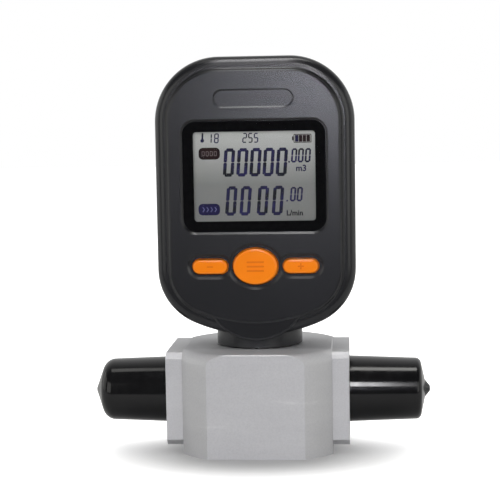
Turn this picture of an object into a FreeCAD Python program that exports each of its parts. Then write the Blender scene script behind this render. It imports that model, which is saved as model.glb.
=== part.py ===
"""Digital air flow meter: metal flow block, capped pipe ends and a turning display head.

Millimetres. The origin is the centre of the block's base, X runs along the flow,
the display faces -Y and Z is up, on the axis that the head turns about.
"""
import math
import os

import FreeCAD
import Part

V = FreeCAD.Vector
FAR = 400.0

# Fits, radial or per side
THREAD_FIT = 0.05
SEAT_FIT = 0.05
RUNNING_FIT = 0.05
SLIDE_GAP = 0.3

# Proportions of the cap screws, against the shank's diameter
SCREW_HEAD_RATIO = 1.84
SCREW_DRIVE_RATIO = 0.9
SCREW_CROWN_RATIO = 0.125

# Flow block, turned from bar and milled to four flats
BLOCK_WIDTH = 52.2
BLOCK_DEPTH = 54.9
BLOCK_HEIGHT = 36.2
BLOCK_BAR_DIAMETER = 64.4
BLOCK_TOP_RADIUS = 4.0
BLOCK_EDGE_BREAK = 0.45
PORT_DROP = 16.8
FLOW_BORE = 12.0

# Tapped holes in the block's base
BASE_HOLE_DIAMETER = 3.3
BASE_HOLE_DEPTH = 8.0
BASE_HOLE_SPACING_X = 24.0
BASE_HOLE_SPACING_Y = 40.0

# End plates, their screws and the registers that centre them in the block
FLANGE_THICKNESS = 5.8
FLANGE_DEPTH = 36.5
FLANGE_BASE_GAP = 2.75
FLANGE_TOP_GAP = 0.85
FLANGE_CHAMFER = 2.05
FLANGE_SCREW_INSET = 4.2
FLANGE_SCREW_DIAMETER = 3.0
FLANGE_SCREW_BITE = 6.0
REGISTER_DIAMETER = 19.0
REGISTER_LENGTH = 5.0
SEAL_CORD = 1.6

# Taper pipe thread of the nipples
NIPPLE_LENGTH = 18.0
THREAD_LENGTH = 15.0
THREAD_END_DIAMETER = 20.4
THREAD_TAPER = 1.0 / 16.0
THREAD_PITCH = 1.814
THREAD_DEPTH = 1.16
THREAD_FLANK_SHARE = 0.35
THREAD_CREST_SHARE = 0.15

# Dipped vinyl caps; the two ends have set differently
CAP_WALL = 0.8
CAP_MOUTH_WALL = 1.05
CAP_SEAT_GAP = 0.1
CAP_NUB_TIP_DIAMETER = 1.8
CAP_NUB_ROUND_SHARE = 0.4
INLET_CAP_HEADROOM = 4.9
INLET_CAP_END_RISE = 3.3
INLET_CAP_END_RADIUS = 4.5
INLET_CAP_NUB_DIAMETER = 4.2
INLET_CAP_NUB_LENGTH = 0.5
OUTLET_CAP_HEADROOM = 6.3
OUTLET_CAP_END_RISE = 1.7
OUTLET_CAP_END_RADIUS = 2.0
OUTLET_CAP_NUB_DIAMETER = 6.2
OUTLET_CAP_NUB_LENGTH = 1.8

# Screens and straightener in the inlet, one screen in the outlet
SCREEN_THICKNESS = 1.0
SCREEN_RIM = 1.4
SCREEN_WIRE = 0.4
SCREEN_MESH = 2.0
STRAIGHTENER_LENGTH = 5.0
STRAIGHTENER_CELL = 2.8
STRAIGHTENER_PITCH = 3.3
STRAIGHTENER_RINGS = 2

# Flow sensor hung from the chamber under the spigot
SENSOR_BORE = 13.0
SENSOR_CHAMBER_DIAMETER = 21.0
SENSOR_FLANGE_THICKNESS = 2.0
SENSOR_BOARD_DIAMETER = 11.6
SENSOR_BOARD_THICKNESS = 1.0
SENSOR_HEADER_WIDTH = 5.0
SENSOR_HEADER_DEPTH = 4.0
SENSOR_HEADER_HEIGHT = 2.0
SENSOR_STEM_RECESS = 0.6
SENSOR_BLADE_LENGTH = 9.0
SENSOR_BLADE_THICKNESS = 1.6
SENSOR_BLADE_DROP = 3.0
SENSOR_CHIP_SIZE = 2.4
SENSOR_CHIP_THICKNESS = 0.5
SENSOR_SEAL_CORD = 1.2
SENSOR_SCREW_DIAMETER = 2.0
SENSOR_SCREW_BITE = 3.6

# Hollow spigot that the head turns on
SPIGOT_DIAMETER = 18.0
SPIGOT_BORE = 11.0
SPIGOT_FLANGE_DIAMETER = 29.9
SPIGOT_FLANGE_THICKNESS = 3.0
SPIGOT_SCREW_DIAMETER = 2.0
SPIGOT_SCREW_BITE = 4.0
SPIGOT_SCREW_COUNT = 3
SPIGOT_TIP = 0.4
SWIVEL_HEADROOM = 1.0
THRUST_WASHER_THICKNESS = 0.4
FRICTION_WASHER_THICKNESS = 0.6
SWIVEL_NUT_THICKNESS = 4.0
SWIVEL_NUT_SLOT = 2.4
SWIVEL_NUT_SLOT_COUNT = 6
STOP_PIN_DIAMETER = 2.0
STOP_PIN_STAND = 2.0
STOP_PIN_SUNK = 2.2
SWIVEL_HALF_TURN = 90.0
STOP_SLOT_SLACK = 1.0

# Neck between block and head
NECK_DIAMETER = 30.4
NECK_WAIST = 21.0
NECK_LIP_DIAMETER = 24.0
NECK_LIP_THICKNESS = 2.5
NECK_SOCKET_DEPTH = 1.9
NECK_EDGE_RADIUS = 0.6
CLAMP_THICKNESS = 3.0

# Head outline, built from the window and the margins round it
HEAD_GAP = 4.4
HEAD_TOP_RADIUS = 22.4
HEAD_LOWER_RADIUS = 20.4
HEAD_CHIN_RADIUS = 55.0
WINDOW_WIDTH = 49.3
WINDOW_HEIGHT = 38.1
WINDOW_CORNER = 4.5
FACE_SIDE_MARGIN = 5.35
FACE_INSET = 4.6
KEY_ROW_RISE = 24.8
KEY_WINDOW_GAP = 5.7
BADGE_GAP = 4.5
BADGE_WIDTH = 27.8
BADGE_HEIGHT = 6.4
BADGE_DEPTH = 0.4
BADGE_SLOPE = 0.5
HEAD_TOP_MARGIN = 11.3

# Head shells
FACE_FRONT = 16.8
FACE_WALL = 2.4
FACE_EDGE_RADIUS = 1.0
FACE_FOOT_RADIUS = 0.9
RIM_STEP = 2.2
RIM_RADIUS = 3.4
CHIN_TONGUE_RADIUS = 18.0
CHIN_TONGUE_DROP = 1.4
CHIN_TONGUE_STEP = 0.05
CHIN_TONGUE_LEAN = 1.5
CHIN_TONGUE_EDGE = 0.9
CASE_WALL = 2.2
PARTING_FRONT = 6.0
PARTING_CHAMFER = 0.35
BACK_RADIUS = 5.0
GASKET_WIDTH = 0.8
GASKET_DEPTH = 0.6
GASKET_INSET = 0.7
CASE_SCREW_DIAMETER = 3.0
CASE_SCREW_BITE = 6.0
CASE_SCREW_SINK = 8.0
CASE_BOSS_WALL = 1.1
TOP_SCREW_X = 13.0
TOP_SCREW_DROP = 8.2
LOWER_SCREW_X = 20.0
LOWER_SCREW_RISE = 11.9

# Display behind the window
WINDOW_RECESS = 0.8
WINDOW_BEVEL = 0.7
WINDOW_FIT = 0.15
PANE_THICKNESS = 1.2
MASK_THICKNESS = 0.2
MASK_BORDER = 3.6
MASK_CORNER = 1.2
LEDGE_THICKNESS = 1.2
LEDGE_CLEARANCE = 0.6
LEDGE_PAD = 1.6
LCD_MARGIN = 1.75
LCD_GLASS_THICKNESS = 2.2
LCD_LIGHT_THICKNESS = 2.6
LCD_LIGHT_SHORT = 3.2
LCD_STRIP_THICKNESS = 1.8
LCD_FRAME_WALL = 1.0
LCD_FRAME_STAND = 1.0
LCD_FIT = 0.1

# Circuit board
BOARD_THICKNESS = 1.6
BOARD_EDGE_GAP = 0.6
BOARD_HEADROOM = 4.0
BOARD_TOP_MARGIN = 5.0
BOARD_SCREW_DIAMETER = 2.5
BOARD_SCREW_BITE = 3.5
BOARD_POST_WALL = 1.1
BOARD_POST_SPACING = 26.0
BOARD_GAP = 4.8
CHIP_HEIGHT = 1.4
PROCESSOR_SIZE = 12.0
DRIVER_SIZE = 7.0
COIL_DIAMETER = 8.0
COIL_HEIGHT = 3.0
CHIP_SPACING_X = 17.0
CHIP_SPACING_Z = 15.0
SENSOR_SOCKET_WIDTH = 8.0
SENSOR_SOCKET_DEPTH = 3.2
SENSOR_SOCKET_HEIGHT = 5.0
SENSOR_SOCKET_RISE = 0.8

# Keys and the push switches under them
CENTRE_KEY_WIDTH = 15.4
CENTRE_KEY_HEIGHT = 12.5
SIDE_KEY_WIDTH = 12.1
SIDE_KEY_HEIGHT = 4.9
SIDE_KEY_SPACING = 15.7
KEY_PROUD = 1.0
KEY_EDGE_RADIUS = 0.8
KEY_LIP = 0.7
KEY_LIP_THICKNESS = 1.2
KEY_LIP_GAP = 0.1
KEY_GAP = 0.35
KEY_TRAVEL = 0.8
KEY_STEM_DIAMETER = 4.0
KEY_POCKET_MARGIN = 1.1
KEY_POCKET_DEPTH = 0.4
KEY_POCKET_SLOPE = 0.9
SWITCH_SIZE = 6.0
SWITCH_HEIGHT = 3.6
PLUNGER_DIAMETER = 3.2
PLUNGER_STAND = 1.0
PLUNGER_SUNK = 1.2

# Three standard AA cells, their contacts and the door over them
CELL_DIAMETER = 14.5
CELL_LENGTH = 50.5
CELL_NUB_DIAMETER = 5.5
CELL_NUB_LENGTH = 1.2
CELL_EDGE_RADIUS = 0.6
CELL_COUNT = 3
CELL_GAP = 0.9
CELL_CLEARANCE = 0.2
BAY_WALL = 1.6
BAY_FLOOR = 1.2
CONTACT_THICKNESS = 0.5
CONTACT_SIZE = 10.0
CONTACT_TAG = 2.0
SPRING_LENGTH = 5.5
SPRING_FOOT_DIAMETER = 9.0
SPRING_CONE_ANGLE = 15.0
SPRING_WIRE = 0.8
SPRING_TURNS = 3.0
DOOR_THICKNESS = 2.0
DOOR_LEDGE = 2.5
DOOR_CORNER = 3.0
DOOR_GAP = 0.3
DOOR_SEAT_GAP = 0.05
DOOR_SCREW_DIAMETER = 3.0
DOOR_SCREW_BITE = 5.0
DOOR_SCREW_HEAD = 1.2
DOOR_SCREW_MARGIN = 4.3
DOOR_TAB_RADIUS = 4.6
DOOR_BOSS_RADIUS = 3.4

# Lead from the sensor to the board; its points are chosen along the hollow spigot
CABLE_DIAMETER = 2.4
CABLE_STRAIGHT = 8.0
CABLE_TAIL = 1.0

# Heights
PORT_Z = BLOCK_HEIGHT - PORT_DROP
FLANGE_TOP_Z = BLOCK_HEIGHT - FLANGE_TOP_GAP
SPIGOT_SEAT_Z = BLOCK_HEIGHT - SPIGOT_FLANGE_THICKNESS
SENSOR_STACK = SENSOR_FLANGE_THICKNESS + SENSOR_BOARD_THICKNESS + SENSOR_HEADER_HEIGHT
SENSOR_SEAT_Z = SPIGOT_SEAT_Z - SENSOR_STACK
HEAD_BOTTOM_Z = BLOCK_HEIGHT + HEAD_GAP
NECK_BOTTOM_Z = BLOCK_HEIGHT + THRUST_WASHER_THICKNESS
NECK_SHOULDER_Z = HEAD_BOTTOM_Z + NECK_SOCKET_DEPTH
CLAMP_TOP_Z = NECK_SHOULDER_Z + CLAMP_THICKNESS
NECK_TOP_Z = CLAMP_TOP_Z + NECK_LIP_THICKNESS
NUT_BOTTOM_Z = NECK_TOP_Z + FRICTION_WASHER_THICKNESS
SPIGOT_TOP_Z = NUT_BOTTOM_Z + SWIVEL_NUT_THICKNESS + SPIGOT_TIP
KEY_Z = HEAD_BOTTOM_Z + KEY_ROW_RISE
WINDOW_Z = KEY_Z + CENTRE_KEY_HEIGHT / 2 + KEY_WINDOW_GAP + WINDOW_HEIGHT / 2
BADGE_Z = WINDOW_Z + WINDOW_HEIGHT / 2 + BADGE_GAP + BADGE_HEIGHT / 2
HEAD_TOP_Z = BADGE_Z + BADGE_HEIGHT / 2 + HEAD_TOP_MARGIN
BOARD_BOTTOM_Z = SPIGOT_TOP_Z + BOARD_HEADROOM
BAY_BOTTOM_Z = SPIGOT_TOP_Z + SWIVEL_HEADROOM + DOOR_BOSS_RADIUS + DOOR_SCREW_MARGIN
BAY_LENGTH = CELL_LENGTH + SPRING_LENGTH + 2 * CONTACT_THICKNESS
BAY_TOP_Z = BAY_BOTTOM_Z + BAY_LENGTH

# Depths in the head, worked out from the face backwards
FACE_Y = -FACE_FRONT
RIM_Y = FACE_Y + RIM_STEP
PARTING_Y = -PARTING_FRONT
FACE_INNER_Y = FACE_Y + FACE_WALL
RIM_INNER_Y = RIM_Y + CASE_WALL
PANE_Y = FACE_Y + WINDOW_RECESS
MASK_Y = PANE_Y + PANE_THICKNESS
LEDGE_Y = MASK_Y + MASK_THICKNESS
LCD_Y = LEDGE_Y + LEDGE_THICKNESS
LIGHT_Y = LCD_Y + LCD_GLASS_THICKNESS
BOARD_Y = LIGHT_Y + LCD_LIGHT_THICKNESS + LCD_FRAME_STAND
BOARD_BACK_Y = BOARD_Y + BOARD_THICKNESS
BAY_FRONT_Y = BOARD_BACK_Y + BOARD_GAP
BAY_FLOOR_Y = BAY_FRONT_Y + BAY_FLOOR
CELL_Y = BAY_FLOOR_Y + CELL_CLEARANCE + CELL_DIAMETER / 2
DOOR_SEAT_Y = CELL_Y + CELL_DIAMETER / 2 + CELL_CLEARANCE
BACK_Y = DOOR_SEAT_Y + DOOR_SEAT_GAP + DOOR_THICKNESS
SWITCH_Y = BOARD_Y - SWITCH_HEIGHT
PLUNGER_Y = SWITCH_Y - PLUNGER_STAND

# Widths
FLANGE_FACE_X = BLOCK_WIDTH / 2 + FLANGE_THICKNESS
HEAD_HALF = WINDOW_WIDTH / 2 + FACE_SIDE_MARGIN + FACE_INSET
NECK_RADIUS = NECK_DIAMETER / 2
REGISTER_BORE_RADIUS = REGISTER_DIAMETER / 2 + SEAT_FIT
SPIGOT_RADIUS = SPIGOT_DIAMETER / 2
STOP_RADIUS = (SENSOR_CHAMBER_DIAMETER + SPIGOT_FLANGE_DIAMETER) / 4
STOP_SLOT_HALF = STOP_PIN_DIAMETER / 2 + SLIDE_GAP
THREAD_FOOT_RADIUS = (THREAD_END_DIAMETER + THREAD_LENGTH * THREAD_TAPER) / 2
LCD_VISIBLE_WIDTH = WINDOW_WIDTH - 2 * MASK_BORDER
LCD_VISIBLE_HEIGHT = WINDOW_HEIGHT - 2 * MASK_BORDER
LCD_WIDTH = LCD_VISIBLE_WIDTH + 2 * LCD_MARGIN
LCD_HEIGHT = LCD_VISIBLE_HEIGHT + 2 * LCD_MARGIN
LCD_FRAME_WIDTH = LCD_WIDTH + 2 * (LCD_FIT + LCD_FRAME_WALL)
LCD_FRAME_HEIGHT = LCD_HEIGHT + 2 * (LCD_FIT + LCD_FRAME_WALL)
BOARD_POST_RADIUS = BOARD_SCREW_DIAMETER / 2 + THREAD_FIT + BOARD_POST_WALL
BOARD_POST_X = LCD_FRAME_WIDTH / 2 + BOARD_POST_RADIUS + 2 * SLIDE_GAP
CELL_PITCH = CELL_DIAMETER + CELL_GAP
BAY_HALF = CELL_PITCH * (CELL_COUNT - 1) / 2 + CELL_DIAMETER / 2 + CELL_CLEARANCE
DOOR_HALF = BAY_HALF + DOOR_LEDGE
DOOR_BOTTOM_Z = BAY_BOTTOM_Z - DOOR_LEDGE
DOOR_TOP_Z = BAY_TOP_Z + DOOR_LEDGE
DOOR_SCREW_HEIGHTS = [BAY_BOTTOM_Z - DOOR_SCREW_MARGIN, BAY_TOP_Z + DOOR_SCREW_MARGIN]
CASE_SCREW_PLACES = [
    (side * x, z)
    for side in (-1, 1)
    for x, z in (
        (TOP_SCREW_X, HEAD_TOP_Z - TOP_SCREW_DROP),
        (LOWER_SCREW_X, HEAD_BOTTOM_Z + LOWER_SCREW_RISE),
    )
]
BOARD_SCREW_PLACES = [
    (side * BOARD_POST_X, WINDOW_Z + rise * BOARD_POST_SPACING / 2)
    for side in (-1, 1)
    for rise in (-1, 1)
]
KEY_PLACES = {"minus": -SIDE_KEY_SPACING, "centre": 0.0, "plus": SIDE_KEY_SPACING}


def block(x0, x1, y0, y1, z0, z1):
    return Part.makeBox(x1 - x0, y1 - y0, z1 - z0, V(x0, y0, z0))


def rod_x(x0, x1, y, z, radius):
    return Part.makeCylinder(radius, x1 - x0, V(x0, y, z), V(1, 0, 0))


def rod_y(x, y0, y1, z, radius):
    return Part.makeCylinder(radius, y1 - y0, V(x, y0, z), V(0, 1, 0))


def rod_z(x, y, z0, z1, radius):
    return Part.makeCylinder(radius, z1 - z0, V(x, y, z0), V(0, 0, 1))


def ring_z(z0, z1, outer, inner):
    return rod_z(0, 0, z0, z1, outer).cut(rod_z(0, 0, z0, z1, inner))


def turned(points, centre, axis):
    """Solid of revolution of a closed outline about an axis through centre."""
    face = Part.Face(Part.makePolygon(points + points[:1]))
    return face.revolve(centre, axis, 360)


def turned_x(points):
    """Turn (x, radius) points about the flow axis."""
    outline = [V(x, 0, PORT_Z + radius) for x, radius in points]
    return turned(outline, V(0, 0, PORT_Z), V(1, 0, 0))


def mirrored_x(shape):
    return shape.mirror(V(0, 0, 0), V(1, 0, 0))


def flat_edges(shape, y):
    """Edges that lie in the plane at depth y."""
    near = 1e-4
    return [e for e in shape.Edges if abs(e.BoundBox.YMin - y) < near and abs(e.BoundBox.YMax - y) < near]


def round_at(shape, y, radius):
    return shape.makeFillet(radius, flat_edges(shape, y))


def bevel_at(shape, y, size):
    return shape.makeChamfer(size, flat_edges(shape, y))


def upper_edges(shape):
    """Edges that lie wholly in the upper half."""
    box = shape.BoundBox
    return [e for e in shape.Edges if e.BoundBox.ZMin > box.Center.z]


def joined(shapes):
    result = shapes[0]
    for shape in shapes[1:]:
        result = result.fuse(shape)
    return result.removeSplitter()


def screw_head_radius(diameter):
    return diameter * SCREW_HEAD_RATIO / 2


def screw(place, outward, diameter, length, head_height):
    """Hexagon-socket screw: place is the centre of the seat under the head, outward points to the head."""
    shank = Part.makeCylinder(diameter / 2, length, V(0, 0, -length))
    head = Part.makeCylinder(screw_head_radius(diameter), head_height)
    head = head.makeFillet(diameter * SCREW_CROWN_RATIO, upper_edges(head))
    reach = diameter * SCREW_DRIVE_RATIO / 2
    angles = [math.radians(60 * i) for i in range(6)]
    corners = [V(reach * math.cos(a), reach * math.sin(a), head_height / 2) for a in angles]
    drive = Part.Face(Part.makePolygon(corners + corners[:1])).extrude(V(0, 0, head_height))
    solid = shank.fuse(head).cut(drive).removeSplitter()
    solid.Placement = FreeCAD.Placement(place, FreeCAD.Rotation(V(0, 0, 1), outward))
    return solid


def head_outline(inset, y):
    """Closed outline of the head, set in by the same amount all round."""
    half = HEAD_HALF - inset
    top = HEAD_TOP_Z - inset
    top_radius = HEAD_TOP_RADIUS - inset
    lower_radius = HEAD_LOWER_RADIUS - inset
    chin_radius = HEAD_CHIN_RADIUS - inset
    top_x = HEAD_HALF - HEAD_TOP_RADIUS
    top_z = HEAD_TOP_Z - HEAD_TOP_RADIUS
    lower_x = HEAD_HALF - HEAD_LOWER_RADIUS
    chin_z = HEAD_BOTTOM_Z + HEAD_CHIN_RADIUS
    reach = HEAD_CHIN_RADIUS - HEAD_LOWER_RADIUS
    lower_z = chin_z - math.sqrt(reach**2 - lower_x**2)
    swing = math.asin(lower_x / reach)
    meet_x = chin_radius * math.sin(swing)
    meet_z = chin_z - chin_radius * math.cos(swing)
    middle = (math.pi / 2 + swing) / 2
    bend_x = lower_x + lower_radius * math.sin(middle)
    bend_z = lower_z - lower_radius * math.cos(middle)
    slant = math.sqrt(0.5)

    def at(x, z):
        return V(x, y, z)

    def arc(a, b, c):
        return Part.Arc(at(*a), at(*b), at(*c)).toShape()

    edges = [
        Part.makeLine(at(-top_x, top), at(top_x, top)),
        arc((top_x, top), (top_x + top_radius * slant, top_z + top_radius * slant), (half, top_z)),
        Part.makeLine(at(half, top_z), at(half, lower_z)),
        arc((half, lower_z), (bend_x, bend_z), (meet_x, meet_z)),
        arc((meet_x, meet_z), (0, chin_z - chin_radius), (-meet_x, meet_z)),
        arc((-meet_x, meet_z), (-bend_x, bend_z), (-half, lower_z)),
        Part.makeLine(at(-half, lower_z), at(-half, top_z)),
        arc((-half, top_z), (-top_x - top_radius * slant, top_z + top_radius * slant), (-top_x, top)),
    ]
    return Part.Wire(edges)


def head_slab(inset, y0, y1):
    return Part.Face(head_outline(inset, y0)).extrude(V(0, y1 - y0, 0))


def plate(width, height, corner, z, y0, y1, x=0.0):
    """Upright plate with rounded corners, centred on x and z."""
    solid = block(x - width / 2, x + width / 2, y0, y1, z - height / 2, z + height / 2)
    upright = [e for e in solid.Edges if e.BoundBox.YLength > (y1 - y0) / 2]
    return solid.makeFillet(corner, upright)


def oval(width, height, z, y0, y1):
    curve = Part.Ellipse(V(width / 2, y0, z), V(0, y0, z + height / 2), V(0, y0, z))
    return Part.Face(Part.Wire(curve.toShape())).extrude(V(0, y1 - y0, 0))


def racetrack(width, height, z, y0, y1, x=0.0):
    straight = (width - height) / 2
    bar = block(x - straight, x + straight, y0, y1, z - height / 2, z + height / 2)
    ends = [rod_y(x + side * straight, y0, y1, z, height / 2) for side in (-1, 1)]
    return joined([bar] + ends)


def key_shape(name, grow, y0, y1):
    """Outline of a key, grown all round, between two depths."""
    if name == "centre":
        return oval(CENTRE_KEY_WIDTH + 2 * grow, CENTRE_KEY_HEIGHT + 2 * grow, KEY_Z, y0, y1)
    x = KEY_PLACES[name]
    return racetrack(SIDE_KEY_WIDTH + 2 * grow, SIDE_KEY_HEIGHT + 2 * grow, KEY_Z, y0, y1, x)


def flange_screw_places():
    y = FLANGE_DEPTH / 2 - FLANGE_SCREW_INSET
    heights = (FLANGE_BASE_GAP + FLANGE_SCREW_INSET, FLANGE_TOP_Z - FLANGE_SCREW_INSET)
    return [(side * y, z) for side in (-1, 1) for z in heights]


def flange_screw_seat_x():
    return FLANGE_FACE_X - FLANGE_SCREW_DIAMETER - SLIDE_GAP


def spigot_screw_angles():
    step = 360.0 / SPIGOT_SCREW_COUNT
    return [math.radians(-90 + step * i) for i in range(SPIGOT_SCREW_COUNT)]


def spigot_screw_places():
    return [(STOP_RADIUS * math.cos(a), STOP_RADIUS * math.sin(a)) for a in spigot_screw_angles()]


def spigot_screw_seat_z():
    return BLOCK_HEIGHT - SPIGOT_SCREW_DIAMETER - SEAT_FIT


def sensor_screw_radius():
    return (SENSOR_BORE + SENSOR_CHAMBER_DIAMETER) / 4


def make_flow_body():
    half_x = BLOCK_WIDTH / 2
    half_y = BLOCK_DEPTH / 2
    bar = rod_z(0, 0, 0, BLOCK_HEIGHT, BLOCK_BAR_DIAMETER / 2)
    bar = bar.makeFillet(BLOCK_TOP_RADIUS, upper_edges(bar))
    flats = block(-half_x, half_x, -half_y, half_y, 0, BLOCK_HEIGHT)
    flats = flats.makeChamfer(BLOCK_EDGE_BREAK, upper_edges(flats))
    body = bar.common(flats)
    inlet_depth = REGISTER_LENGTH + SCREEN_THICKNESS + STRAIGHTENER_LENGTH
    outlet_depth = REGISTER_LENGTH + SCREEN_THICKNESS
    cuts = [
        rod_x(-half_x, half_x, 0, PORT_Z, FLOW_BORE / 2),
        rod_x(-half_x, -half_x + inlet_depth, 0, PORT_Z, REGISTER_BORE_RADIUS),
        rod_x(half_x - outlet_depth, half_x, 0, PORT_Z, REGISTER_BORE_RADIUS),
        rod_z(0, 0, PORT_Z, SENSOR_SEAT_Z, SENSOR_BORE / 2),
        rod_z(0, 0, SENSOR_SEAT_Z, SPIGOT_SEAT_Z, SENSOR_CHAMBER_DIAMETER / 2),
        rod_z(0, 0, SPIGOT_SEAT_Z, BLOCK_HEIGHT, SPIGOT_FLANGE_DIAMETER / 2 + SEAT_FIT),
    ]
    tap = FLANGE_SCREW_DIAMETER / 2 + THREAD_FIT
    for y, z in flange_screw_places():
        cuts.append(rod_x(-half_x, -half_x + FLANGE_SCREW_BITE + SLIDE_GAP, y, z, tap))
        cuts.append(rod_x(half_x - FLANGE_SCREW_BITE - SLIDE_GAP, half_x, y, z, tap))
    tap = SPIGOT_SCREW_DIAMETER / 2 + THREAD_FIT
    for x, y in spigot_screw_places():
        cuts.append(rod_z(x, y, SPIGOT_SEAT_Z - SPIGOT_SCREW_BITE - SLIDE_GAP, SPIGOT_SEAT_Z, tap))
    tap = SENSOR_SCREW_DIAMETER / 2 + THREAD_FIT
    for side in (-1, 1):
        y = side * sensor_screw_radius()
        cuts.append(rod_z(0, y, SENSOR_SEAT_Z - SENSOR_SCREW_BITE - SLIDE_GAP, SENSOR_SEAT_Z, tap))
    for x in (-BASE_HOLE_SPACING_X / 2, BASE_HOLE_SPACING_X / 2):
        for y in (-BASE_HOLE_SPACING_Y / 2, BASE_HOLE_SPACING_Y / 2):
            cuts.append(rod_z(x, y, 0, BASE_HOLE_DEPTH, BASE_HOLE_DIAMETER / 2))
    return body.cut(joined(cuts))


def nipple_profile():
    """Outer (x, radius) points of the tapered, threaded nipple, from the plate outwards."""
    start = FLANGE_FACE_X + NIPPLE_LENGTH - THREAD_LENGTH
    shank = THREAD_FOOT_RADIUS - THREAD_DEPTH
    crest_start = THREAD_FLANK_SHARE
    crest_end = crest_start + THREAD_CREST_SHARE
    root_start = crest_end + THREAD_FLANK_SHARE
    turn = ((crest_start, 0), (crest_end, 0), (root_start, THREAD_DEPTH), (1, THREAD_DEPTH))
    points = [(FLANGE_FACE_X, shank), (start, shank)]
    for i in range(int(THREAD_LENGTH / THREAD_PITCH)):
        for share, depth in turn:
            run = (i + share) * THREAD_PITCH
            points.append((start + run, THREAD_FOOT_RADIUS - run * THREAD_TAPER / 2 - depth))
    end = FLANGE_FACE_X + NIPPLE_LENGTH
    points.append((end, THREAD_END_DIAMETER / 2 - THREAD_DEPTH))
    return points


def make_outlet_fitting():
    half_x = BLOCK_WIDTH / 2
    half_y = FLANGE_DEPTH / 2
    slab = block(half_x, FLANGE_FACE_X, -half_y, half_y, FLANGE_BASE_GAP, FLANGE_TOP_Z)
    long_edges = [e for e in slab.Edges if e.BoundBox.XLength > FLANGE_THICKNESS / 2]
    slab = slab.makeChamfer(FLANGE_CHAMFER, long_edges)
    groove_x = half_x - REGISTER_LENGTH / 2
    groove = REGISTER_DIAMETER / 2 - SEAL_CORD
    register = turned_x(
        [
            (half_x, 0),
            (half_x, REGISTER_DIAMETER / 2),
            (groove_x + SEAL_CORD / 2, REGISTER_DIAMETER / 2),
            (groove_x + SEAL_CORD / 2, groove),
            (groove_x - SEAL_CORD / 2, groove),
            (groove_x - SEAL_CORD / 2, REGISTER_DIAMETER / 2),
            (half_x - REGISTER_LENGTH, REGISTER_DIAMETER / 2),
            (half_x - REGISTER_LENGTH, 0),
        ]
    )
    nipple = turned_x([(FLANGE_FACE_X, 0)] + nipple_profile() + [(FLANGE_FACE_X + NIPPLE_LENGTH, 0)])
    fitting = joined([slab, register, nipple])
    cuts = [rod_x(0, FLANGE_FACE_X + NIPPLE_LENGTH, 0, PORT_Z, FLOW_BORE / 2)]
    seat = flange_screw_seat_x()
    for y, z in flange_screw_places():
        cuts.append(rod_x(half_x, FLANGE_FACE_X, y, z, FLANGE_SCREW_DIAMETER / 2 + THREAD_FIT))
        cuts.append(rod_x(seat, FLANGE_FACE_X, y, z, screw_head_radius(FLANGE_SCREW_DIAMETER) + SLIDE_GAP))
    return fitting.cut(joined(cuts))


def make_flange_screws():
    seat = flange_screw_seat_x()
    length = seat - BLOCK_WIDTH / 2 + FLANGE_SCREW_BITE
    size = FLANGE_SCREW_DIAMETER
    screws = []
    for side in (-1, 1):
        for y, z in flange_screw_places():
            screws.append(screw(V(side * seat, y, z), V(side, 0, 0), size, length, size))
    return Part.makeCompound(screws)


def seal_ring(centre, axis, outer, cord):
    radius = cord / 2 - SEAT_FIT / 2
    return Part.makeTorus(outer - cord / 2, radius, centre, axis)


def make_flange_seals():
    x = BLOCK_WIDTH / 2 - REGISTER_LENGTH / 2
    outer = REGISTER_DIAMETER / 2
    return Part.makeCompound(
        [seal_ring(V(side * x, 0, PORT_Z), V(1, 0, 0), outer, SEAL_CORD) for side in (-1, 1)]
    )


def make_flow_screen(x0):
    outer = REGISTER_BORE_RADIUS - SEAT_FIT
    inner = outer - SCREEN_RIM
    rim = rod_x(x0, x0 + SCREEN_THICKNESS, 0, PORT_Z, outer).cut(
        rod_x(x0, x0 + SCREEN_THICKNESS, 0, PORT_Z, inner)
    )
    middle = x0 + SCREEN_THICKNESS / 2
    wire = SCREEN_WIRE / 2
    reach = int(inner / SCREEN_MESH)
    wires = []
    for i in range(-reach, reach + 1):
        place = i * SCREEN_MESH
        half = math.sqrt(inner**2 - place**2) + SCREEN_RIM / 2
        z = PORT_Z + place
        low = PORT_Z - half
        high = PORT_Z + half
        wires.append(block(middle - wire, middle + wire, place - wire, place + wire, low, high))
        wires.append(block(middle - wire, middle + wire, -half, half, z - wire, z + wire))
    return joined([rim] + wires)


def make_flow_screens():
    inlet = -BLOCK_WIDTH / 2 + REGISTER_LENGTH
    outlet = BLOCK_WIDTH / 2 - REGISTER_LENGTH - SCREEN_THICKNESS
    return Part.makeCompound([make_flow_screen(inlet), make_flow_screen(outlet)])


def make_flow_straightener():
    x0 = -BLOCK_WIDTH / 2 + REGISTER_LENGTH + SCREEN_THICKNESS
    x1 = x0 + STRAIGHTENER_LENGTH
    disc = rod_x(x0, x1, 0, PORT_Z, REGISTER_BORE_RADIUS - SEAT_FIT)
    corner = STRAIGHTENER_CELL / math.sqrt(3)
    holes = []
    for i in range(-STRAIGHTENER_RINGS, STRAIGHTENER_RINGS + 1):
        for j in range(-STRAIGHTENER_RINGS, STRAIGHTENER_RINGS + 1):
            if abs(i + j) > STRAIGHTENER_RINGS:
                continue
            y = STRAIGHTENER_PITCH * (i + j / 2)
            z = PORT_Z + STRAIGHTENER_PITCH * j * math.sqrt(3) / 2
            angles = [math.radians(30 + 60 * k) for k in range(6)]
            ring = [V(x0, y + corner * math.cos(a), z + corner * math.sin(a)) for a in angles]
            holes.append(Part.Face(Part.makePolygon(ring + ring[:1])).extrude(V(STRAIGHTENER_LENGTH, 0, 0)))
    return disc.cut(Part.makeCompound(holes))


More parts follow.
